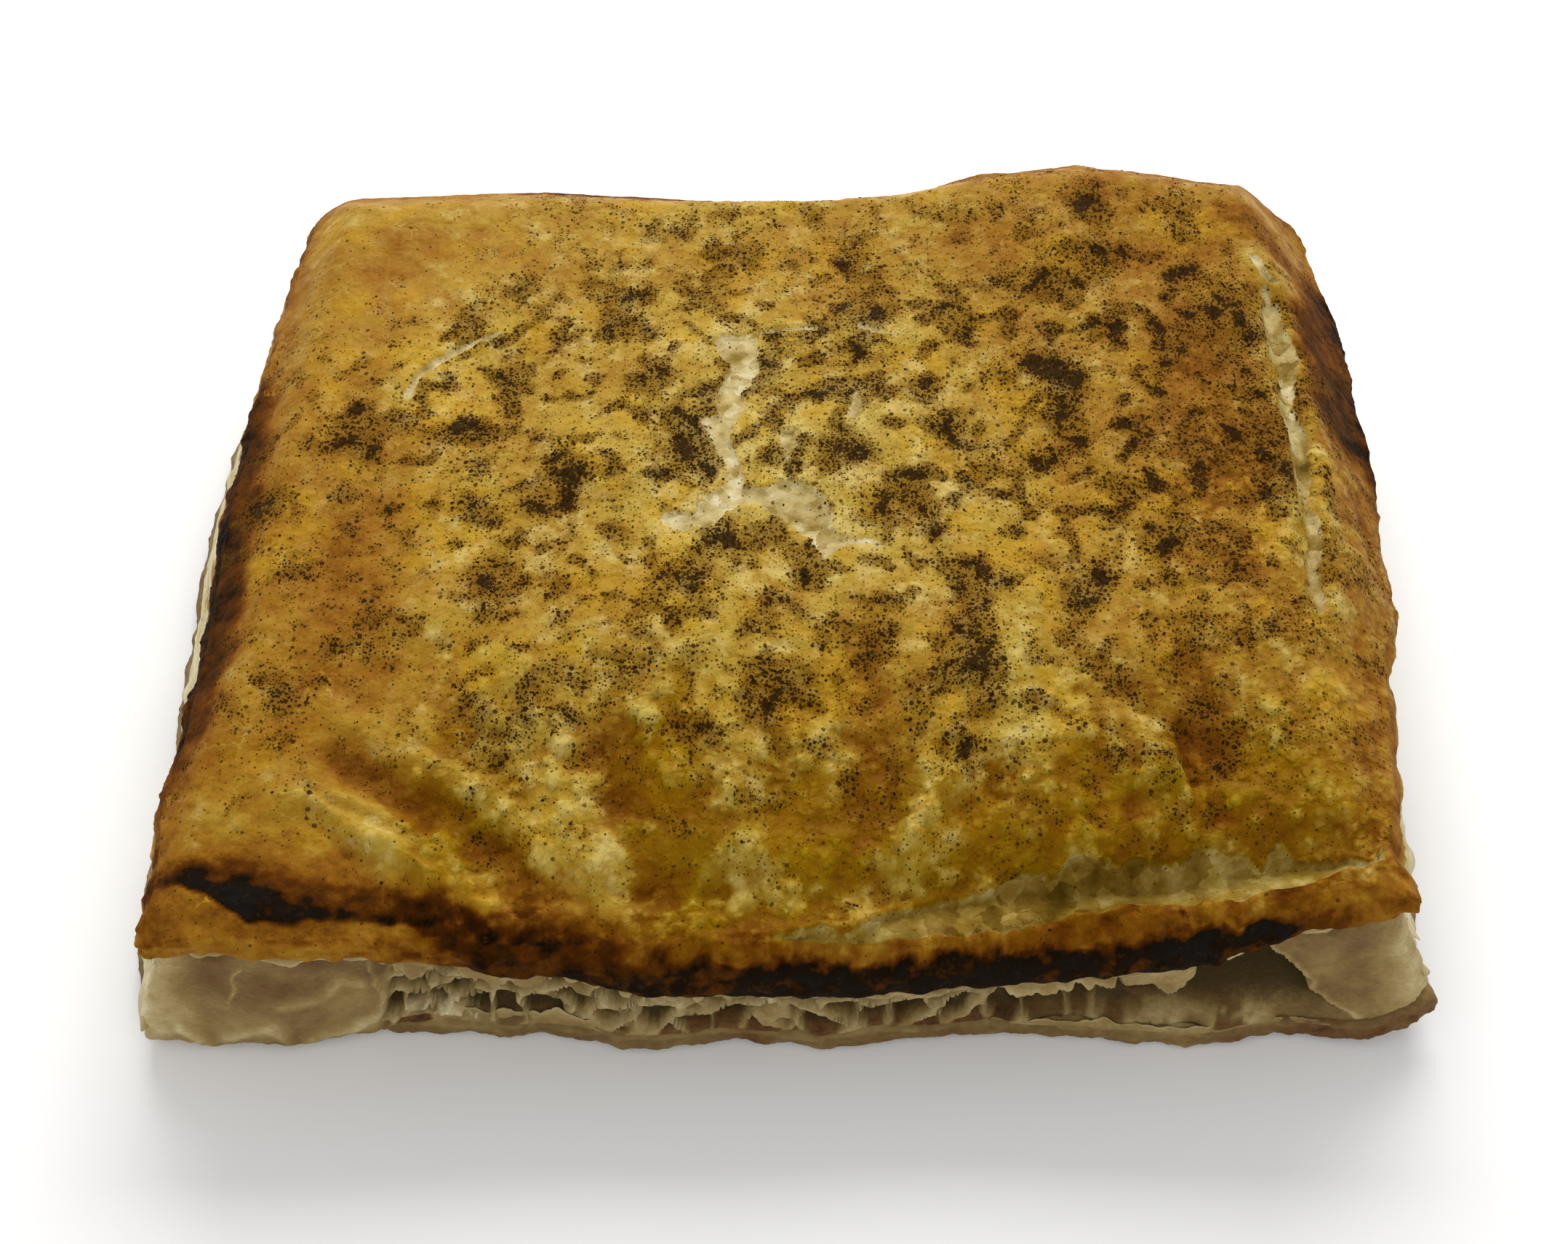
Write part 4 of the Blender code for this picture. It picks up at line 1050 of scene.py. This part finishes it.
def scatterPepper(kind, sheet):
    settings = pepper[kind]
    low, high = settings["radius"]
    draw = np.random.default_rng(settings["seed"])
    corners = [vertex.co for vertex in sheet.data.vertices]
    surface = BVHTree.FromPolygons(corners, [tuple(face.vertices) for face in sheet.data.polygons])
    tries = pepper["tries"] * settings["count"]
    x, y = (draw.uniform(*limits, tries) for limits in pepper["area"])
    density = pepperDensity(x, y) * np.where(torn(x, y) > 0.1, 0.15, 1.0)
    density = density * np.where(crescent(x, y) > 0.2, 0.1, 1.0)
    chance = 0.6 * np.minimum(density, 0.9) ** 1.3
    kept = np.flatnonzero(draw.uniform(0, 1, tries) < chance)[:settings["count"]]
    base, baseFaces = solidOf(kind)
    points, faces, shades = [], [], []
    for i in kept:
        above = Vector(((x[i] - planMiddle[0]) * mm, (y[i] - planMiddle[1]) * mm, 0.06))
        hit, normal, _, _ = surface.ray_cast(above, Vector((0, 0, -1)))
        if hit is None or normal.z < pepper["steepest"]:
            continue
        radius = mix(low, high, draw.uniform() ** 2.2)
        turn = draw.uniform(0, math.tau)
        stretch = draw.uniform(0.7, 1.35, (len(base), 1))
        grain = base * stretch * (radius, radius * draw.uniform(0.6, 1.0), radius * settings["flat"])
        cosine, sine = math.cos(turn), math.sin(turn)
        spin = np.array(((cosine, -sine, 0), (sine, cosine, 0), (0, 0, 1)))
        tilt = np.array(Vector((0, 0, 1)).rotation_difference(normal).to_matrix())
        centre = np.array(hit) / mm + np.array(normal) * radius * 0.1
        start = len(points) * len(base)
        points.append((grain @ spin.T) @ tilt.T + centre + (planMiddle[0], planMiddle[1], 0))
        faces.extend(tuple(corner + start for corner in face) for face in baseFaces)
        shades.append(np.full(len(base), draw.uniform()))
    return addPiece("pepper_" + kind, np.concatenate(points), faces, {"shade": np.concatenate(shades)})


def colour(red, green, blue):
    # A colour as seen on a screen, 0 to 255, turned into the shader's own
    values = []
    for value in (red, green, blue):
        value = value / 255
        values.append(value / 12.92 if value <= 0.04045 else ((value + 0.055) / 1.055) ** 2.4)
    return (*values, 1.0)


class Finish:
    # A small helper that adds nodes to a new material and joins them up
    def __init__(self, name):
        self.material = bpy.data.materials.new(name)
        self.material.use_nodes = True
        self.tree = self.material.node_tree
        self.shader = self.tree.nodes["Principled BSDF"]

    def node(self, kind, inputs=None, **settings):
        made = self.tree.nodes.new("ShaderNode" + kind)
        for name, value in settings.items():
            setattr(made, name, value)
        for name, value in (inputs or {}).items():
            self.feed(made.inputs[name], value)
        return made

    def surface(self, values):
        for name, value in values.items():
            self.feed(self.shader.inputs[name], value)

    def feed(self, socket, value):
        if isinstance(value, bpy.types.NodeSocket):
            self.tree.links.new(value, socket)
        else:
            socket.default_value = value

    def mark(self, name):
        return self.node("Attribute", attribute_name=name).outputs["Fac"]

    def speckle(self, scale, detail=3.0, roughness=0.55, stretch=None):
        # Noise whose grain is given in millimetres
        where = self.node("TexCoord").outputs["Object"]
        if stretch:
            where = self.node("VectorMath", {0: where, 1: stretch}, operation="MULTIPLY").outputs[0]
        inputs = {"Vector": where, "Scale": 1 / (scale * mm), "Detail": detail, "Roughness": roughness}
        return self.node("TexNoise", inputs).outputs["Fac"]

    def spread(self, scale, detail=3.0, roughness=0.55, stretch=None):
        # The same noise, around zero
        return self.less(self.speckle(scale, detail, roughness, stretch), 0.5)

    def stirred(self, where, grain, amount, detail=3.0):
        # Moves places about a little, so that cells laid over them come out irregular
        wander = self.node("TexNoise", {"Vector": where, "Scale": 1 / (grain * mm), "Detail": detail})
        inputs = {0: wander.outputs["Color"], "Scale": amount}
        shift = self.node("VectorMath", inputs, operation="SCALE").outputs[0]
        return self.node("VectorMath", {0: where, 1: shift}, operation="ADD").outputs[0]

    def cells(self, where, size, **settings):
        return self.node("TexVoronoi", {"Vector": where, "Scale": 1 / (size * mm)}, **settings)

    def math(self, operation, first, second=0.0, third=0.0):
        return self.node("Math", {0: first, 1: second, 2: third}, operation=operation).outputs[0]

    def plus(self, first, second):
        return self.math("ADD", first, second)

    def less(self, first, second):
        return self.math("SUBTRACT", first, second)

    def times(self, first, second):
        return self.math("MULTIPLY", first, second)

    def least(self, first, second):
        return self.math("MINIMUM", first, second)

    def most(self, first, second):
        return self.math("MAXIMUM", first, second)

    def addTo(self, base, amount, value):
        # So much of the value is added to the base
        return self.math("MULTIPLY_ADD", value, amount, base)

    def step(self, value, low, high):
        inputs = {"Value": value, "From Min": low, "From Max": high, "To Min": 0.0, "To Max": 1.0}
        return self.node("MapRange", inputs, interpolation_type="SMOOTHSTEP").outputs["Result"]

    def ramp(self, value, stops):
        made = self.node("ValToRGB", {"Fac": value})
        elements = made.color_ramp.elements
        while len(elements) < len(stops):
            elements.new(0.5)
        for element, (position, *shade) in zip(elements, stops):
            element.position, element.color = position, colour(*shade)
        return made.outputs["Color"]

    def blend(self, share, first, second, mode="MIX"):
        # Inputs 6 and 7 and output 2 are the ones for colours
        inputs = {"Factor": share, 6: first, 7: second}
        return self.node("Mix", inputs, data_type="RGBA", blend_type=mode).outputs[2]

    def bump(self, height, distance, strength=1.0, below=None):
        inputs = {"Height": height, "Distance": distance * mm, "Strength": strength}
        if below is not None:
            inputs["Normal"] = below
        return self.node("Bump", inputs).outputs["Normal"]


glazeFinish = {
    "crust": (  # from pale to black: (tone, red, green, blue)
        (0.00, 212, 195, 134), (0.15, 194, 169, 86), (0.30, 175, 144, 52), (0.44, 161, 120, 32),
        # The last stop is greyer than the one before: partly the char's own grey, partly a painted sheen
        (0.58, 143, 93, 21), (0.72, 96, 51, 6), (0.88, 25, 14, 5), (1.00, 23, 20, 18),
    ),
    "torn": (  # the torn places, from pale to dim
        (0.00, 220, 208, 172), (0.25, 192, 173, 118), (0.50, 152, 126, 62), (0.75, 108, 84, 26),
        (1.00, 70, 48, 12),
    ),
    "yolk": colour(194, 150, 22),
    "cream": colour(212, 190, 118),
    # the amber: thick glaze, and painted shade of the front slope
    "amberAndShade": colour(202, 184, 16),
    "pepperStain": colour(104, 67, 6),
    "pepperSpeck": colour(50, 26, 0),
    "pepperHeart": colour(20, 18, 4),
    "mottling": ((6.0, 0.30), (2.0, 0.26), (0.6, 0.12)),  # (grain in mm, amount of tone)
    "curds": ((3.0, 0.55), (1.3, 0.45)),  # (size in mm, share)
    "specks": ((0.36, 0.52), (0.52, 0.62), (0.78, 0.90)),  # (size in mm, how rare)
    "roughness": 0.36,
    "surface": {
        "Specular IOR Level": 0.07,
        "Specular Tint": (1.0, 0.82, 0.55, 1.0),
        "Subsurface Weight": 0.06,
        "Subsurface Radius": (1.0, 0.5, 0.2),
        "Subsurface Scale": 0.0012,
    },
}


def pepperSpecks(made, pepper, where):
    # Dots of three sizes, each in its own cells. The fewer the pepper, the fewer cells have one
    where = made.stirred(where, 0.3, 0.00022, 2.0)
    share = made.plus(made.least(pepper, made.addTo(0.13, 0.34, pepper)), 0.015)
    specks = 0.0
    for size, rare in glazeFinish["specks"]:
        dots = made.cells(where, size)
        chance = made.node("SeparateColor", {"Color": dots.outputs["Color"]})
        reach = made.addTo(made.addTo(0.15, 0.22, chance.outputs["Green"]), 0.10, pepper)
        dot = made.step(made.less(reach, dots.outputs["Distance"]), -0.07, 0.09)
        likely = made.addTo(share, -rare, chance.outputs["Red"])
        specks = made.most(specks, made.times(dot, made.step(likely, 0.0, 0.002)))
    return made.times(specks, made.addTo(0.76, 0.20, made.step(pepper, 0.05, 0.5)))


def glazedCrust():
    made = Finish("Glazed crust")
    where = made.node("TexCoord").outputs["Object"]
    baked, lumpy = made.mark("tone"), made.mark("lumpy")
    tone = baked
    for grain, amount in glazeFinish["mottling"]:
        tone = made.addTo(tone, amount, made.spread(grain, 4.0, 0.6))
    curled = made.stirred(where, 1.2, 0.0011)
    leaf = made.node("SeparateColor", {"Color": made.cells(curled, 1.9).outputs["Color"]}).outputs["Red"]
    torn = made.ramp(made.addTo(tone, 0.26, made.less(leaf, 0.5)), glazeFinish["torn"])
    # Raised places are painted paler and hollows darker by the relief's height: painted highlight and
    # painted shade
    tone = made.addTo(tone, -0.12, made.mark("relief"))

    # Curds: small blobs where the crust is lumpy, their tops painted paler as a painted highlight
    curds = 0.0
    for size, amount in glazeFinish["curds"]:
        blobs = made.cells(curled, size)
        curds = made.addTo(curds, amount, made.step(blobs.outputs["Distance"], 0.62, 0.12))
    curds = made.times(made.less(curds, 0.4), lumpy)
    tone = made.addTo(tone, -0.12, curds)
    tone = made.most(made.least(tone, made.plus(baked, 0.12)), made.less(baked, 0.20))

    # Fine pale creases, here and there
    nets = made.cells(made.stirred(where, 3.0, 0.005), 8.0, feature="DISTANCE_TO_EDGE")
    crease = made.step(nets.outputs["Distance"], 0.022, 0.004)
    crease = made.times(crease, made.step(made.speckle(6.0), 0.55, 0.64))
    crease = made.times(crease, made.step(made.plus(baked, lumpy), 1.0, 0.8))
    tone = made.addTo(tone, -0.12, crease)

    # Yellow and cream patches on the paler crust, the torn places, and the amber of the thick glaze, which
    # also carries painted shade on the front slope
    crust = made.ramp(tone, glazeFinish["crust"])
    yolk = made.times(made.step(made.speckle(8.0), 0.50, 0.64), made.step(tone, 0.66, 0.45))
    crust = made.blend(made.times(yolk, 0.4), crust, glazeFinish["yolk"])
    cream = made.times(made.step(made.speckle(3.4, 5.0, 0.6), 0.50, 0.66), made.step(tone, 0.56, 0.30))
    crust = made.blend(made.times(cream, 0.5), crust, glazeFinish["cream"])
    pale = made.addTo(made.mark("pale"), 0.9, made.spread(0.9, 5.0, 0.65))
    crust = made.blend(made.step(pale, -0.08, 0.08), crust, torn)
    amberAndShade = made.addTo(made.mark("amberAndShade"), 0.9, made.spread(2.0, 4.0, 0.6))
    amberAndShade = made.step(made.addTo(amberAndShade, -0.5, curds), 0.0, 0.9)
    crust = made.blend(amberAndShade, crust, glazeFinish["amberAndShade"], "MULTIPLY")

    # Pepper: soft brown stains, black hearts and dark brown specks
    pepper = made.mark("pepper")
    clouds = made.addTo(pepper, 0.9, made.spread(1.5, 3.0, 0.6))
    haze = made.addTo(clouds, 1.1, made.spread(0.5, 3.0, 0.7))
    stain = made.times(made.step(haze, 0.08, 0.80), 0.66)
    crust = made.blend(stain, crust, glazeFinish["pepperStain"])
    heart = made.step(made.addTo(clouds, 1.7, made.spread(0.5, 3.0, 0.7)), 1.12, 1.5)
    crust = made.blend(made.times(heart, 0.9), crust, glazeFinish["pepperHeart"])
    specks = pepperSpecks(made, pepper, where)
    crust = made.blend(specks, crust, glazeFinish["pepperSpeck"])

    # Burnt and peppered places do not shine
    dull = made.most(made.step(tone, 0.44, 0.74), made.most(stain, specks))
    rough = made.addTo(glazeFinish["roughness"], 0.24, made.speckle(2.2))
    first = made.bump(made.speckle(1.0, 3.0, 0.5), 0.09, 0.6)
    second = made.bump(made.speckle(2.8, 4.0), 0.8, 1.0, first)
    made.surface({"Base Color": crust, "Roughness": made.addTo(rough, 0.4, dull)})
    made.surface({"Normal": made.bump(curds, 0.40, 1.0, second), **glazeFinish["surface"]})
    return made.material


layerFinish = {
    "stops": (  # from pale to brown: (tone, red, green, blue)
        (0.00, 224, 211, 170), (0.25, 182, 161, 112), (0.45, 150, 125, 74), (0.65, 120, 95, 52),
        (0.85, 100, 64, 28), (1.00, 48, 27, 12),
    ),
    # the colour of the painted shade in the open cells and in the hollow
    "pitAndShade": colour(73, 59, 27),
    "surface": {
        "Roughness": 0.62,
        "Specular IOR Level": 0.2,
        "Subsurface Weight": 0.12,
        "Subsurface Radius": (1.0, 0.65, 0.35),
        "Subsurface Scale": 0.001,
    },
}


def flakyLayers():
    made = Finish("Flaky layers")
    fine = made.spread(0.7, 4.0, 0.6, (1.0, 1.0, 2.5))
    tone = made.addTo(made.mark("tone"), 0.45, made.spread(4.0, 4.0))
    layers = made.ramp(made.addTo(tone, 0.30, fine), layerFinish["stops"])
    # Painted shade in the open cells and the hollow
    pitAndShade = made.step(made.addTo(made.mark("pitAndShade"), 0.4, fine), 0.1, 0.75)
    layers = made.blend(made.times(pitAndShade, 0.9), layers, layerFinish["pitAndShade"])
    relief = made.bump(made.speckle(0.5, 4.0, 0.6, (1.0, 1.0, 2.0)), 0.15, 0.7)
    made.surface({"Base Color": layers, "Normal": relief, **layerFinish["surface"]})
    return made.material


pepperFinish = {
    "stops": ((0.0, 20, 13, 3), (0.45, 36, 20, 2), (0.8, 60, 34, 3), (1.0, 90, 58, 10)),
    "spots": colour(32, 20, 4),
    "surface": {"Roughness": 0.8, "Specular IOR Level": 0.04},
}


def groundPepper():
    made = Finish("Ground pepper")
    shade = made.ramp(made.mark("shade"), pepperFinish["stops"])
    shade = made.blend(made.speckle(0.12, 2.0), shade, pepperFinish["spots"])
    relief = made.bump(made.speckle(0.1, 2.0), 0.05, 0.8)
    made.surface({"Base Color": shade, "Normal": relief, **pepperFinish["surface"]})
    return made.material


studio = {
    "floor": {"size": 1.5, "shade": 0.97},
    "lamps": {  # name: (place, target, size, power, tint)
        "key": ((0.05, 0.72, 0.62), (0, 0, 0.02), (0.9, 0.5), 8.5, (1, 0.985, 0.96)),
        "fill": ((0, -0.7, 0.75), (0, -0.1, 0), (0.9, 0.5), 1.3, (1, 1, 1)),
    },
    "skyStrength": 0.60,
    "cameraPlace": (0.48, -168.65, 212.2),
    "cameraTilt": 39.0,
    "lens": 49.5,
}


def buildFloor():
    mesh = bpy.data.meshes.new("floor")
    size, shade = studio["floor"]["size"], studio["floor"]["shade"]
    corners = [(-size, -size, 0), (size, -size, 0), (size, size, 0), (-size, size, 0)]
    mesh.from_pydata(corners, [], [(0, 1, 2, 3)])
    floor = bpy.data.objects.new("floor", mesh)
    bpy.context.scene.collection.objects.link(floor)
    made = Finish("Pale floor")
    made.surface({"Base Color": (shade, shade, shade, 1), "Roughness": 0.9})
    floor.data.materials.append(made.material)


def addLamp(name, place, target, size, power, tint):
    light = bpy.data.lights.new(name, "AREA")
    light.shape = "RECTANGLE"
    light.size, light.size_y = size
    light.energy = power
    light.color = tint
    lamp = bpy.data.objects.new(name, light)
    lamp.location = place
    lamp.rotation_euler = (Vector(target) - Vector(place)).to_track_quat("-Z", "Y").to_euler()
    bpy.context.scene.collection.objects.link(lamp)


def lightStudio():
    for name, settings in studio["lamps"].items():
        addLamp(name, *settings)
    world = bpy.data.worlds.new("Studio")
    world.use_nodes = True
    sky = world.node_tree.nodes["Background"]
    sky.inputs["Color"].default_value = (1, 1, 1, 1)
    sky.inputs["Strength"].default_value = studio["skyStrength"]
    bpy.context.scene.world = world
    bpy.context.scene.view_settings.view_transform = "Standard"


def addCamera():
    camera = bpy.data.cameras.new("camera")
    camera.lens = studio["lens"]
    camera.sensor_width = 36
    holder = bpy.data.objects.new("camera", camera)
    holder.location = Vector(studio["cameraPlace"]) * mm
    holder.rotation_euler = (math.radians(studio["cameraTilt"]), 0, 0)
    bpy.context.scene.collection.objects.link(holder)
    bpy.context.scene.camera = holder


print("Top sheet")
sheet = buildTopSheet()
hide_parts("steak_slice")
sheet.data.materials.append(glazedCrust())

print("Sides and base")
core, wallColumns = buildSideCore()
base = buildBaseSheet(wallColumns)
tornSheets = buildFlakes(wallColumns)
layers = flakyLayers()
for piece in (core, base, tornSheets):
    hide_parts("steak_slice")
    piece.data.materials.append(layers)

print("Pepper")
ground = groundPepper()
for kind in ("grains", "dust"):
    grains = scatterPepper(kind, sheet)
    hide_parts("steak_slice")
    grains.data.materials.append(ground)

print("Floor, light and camera")
buildFloor()
lightStudio()
addCamera()
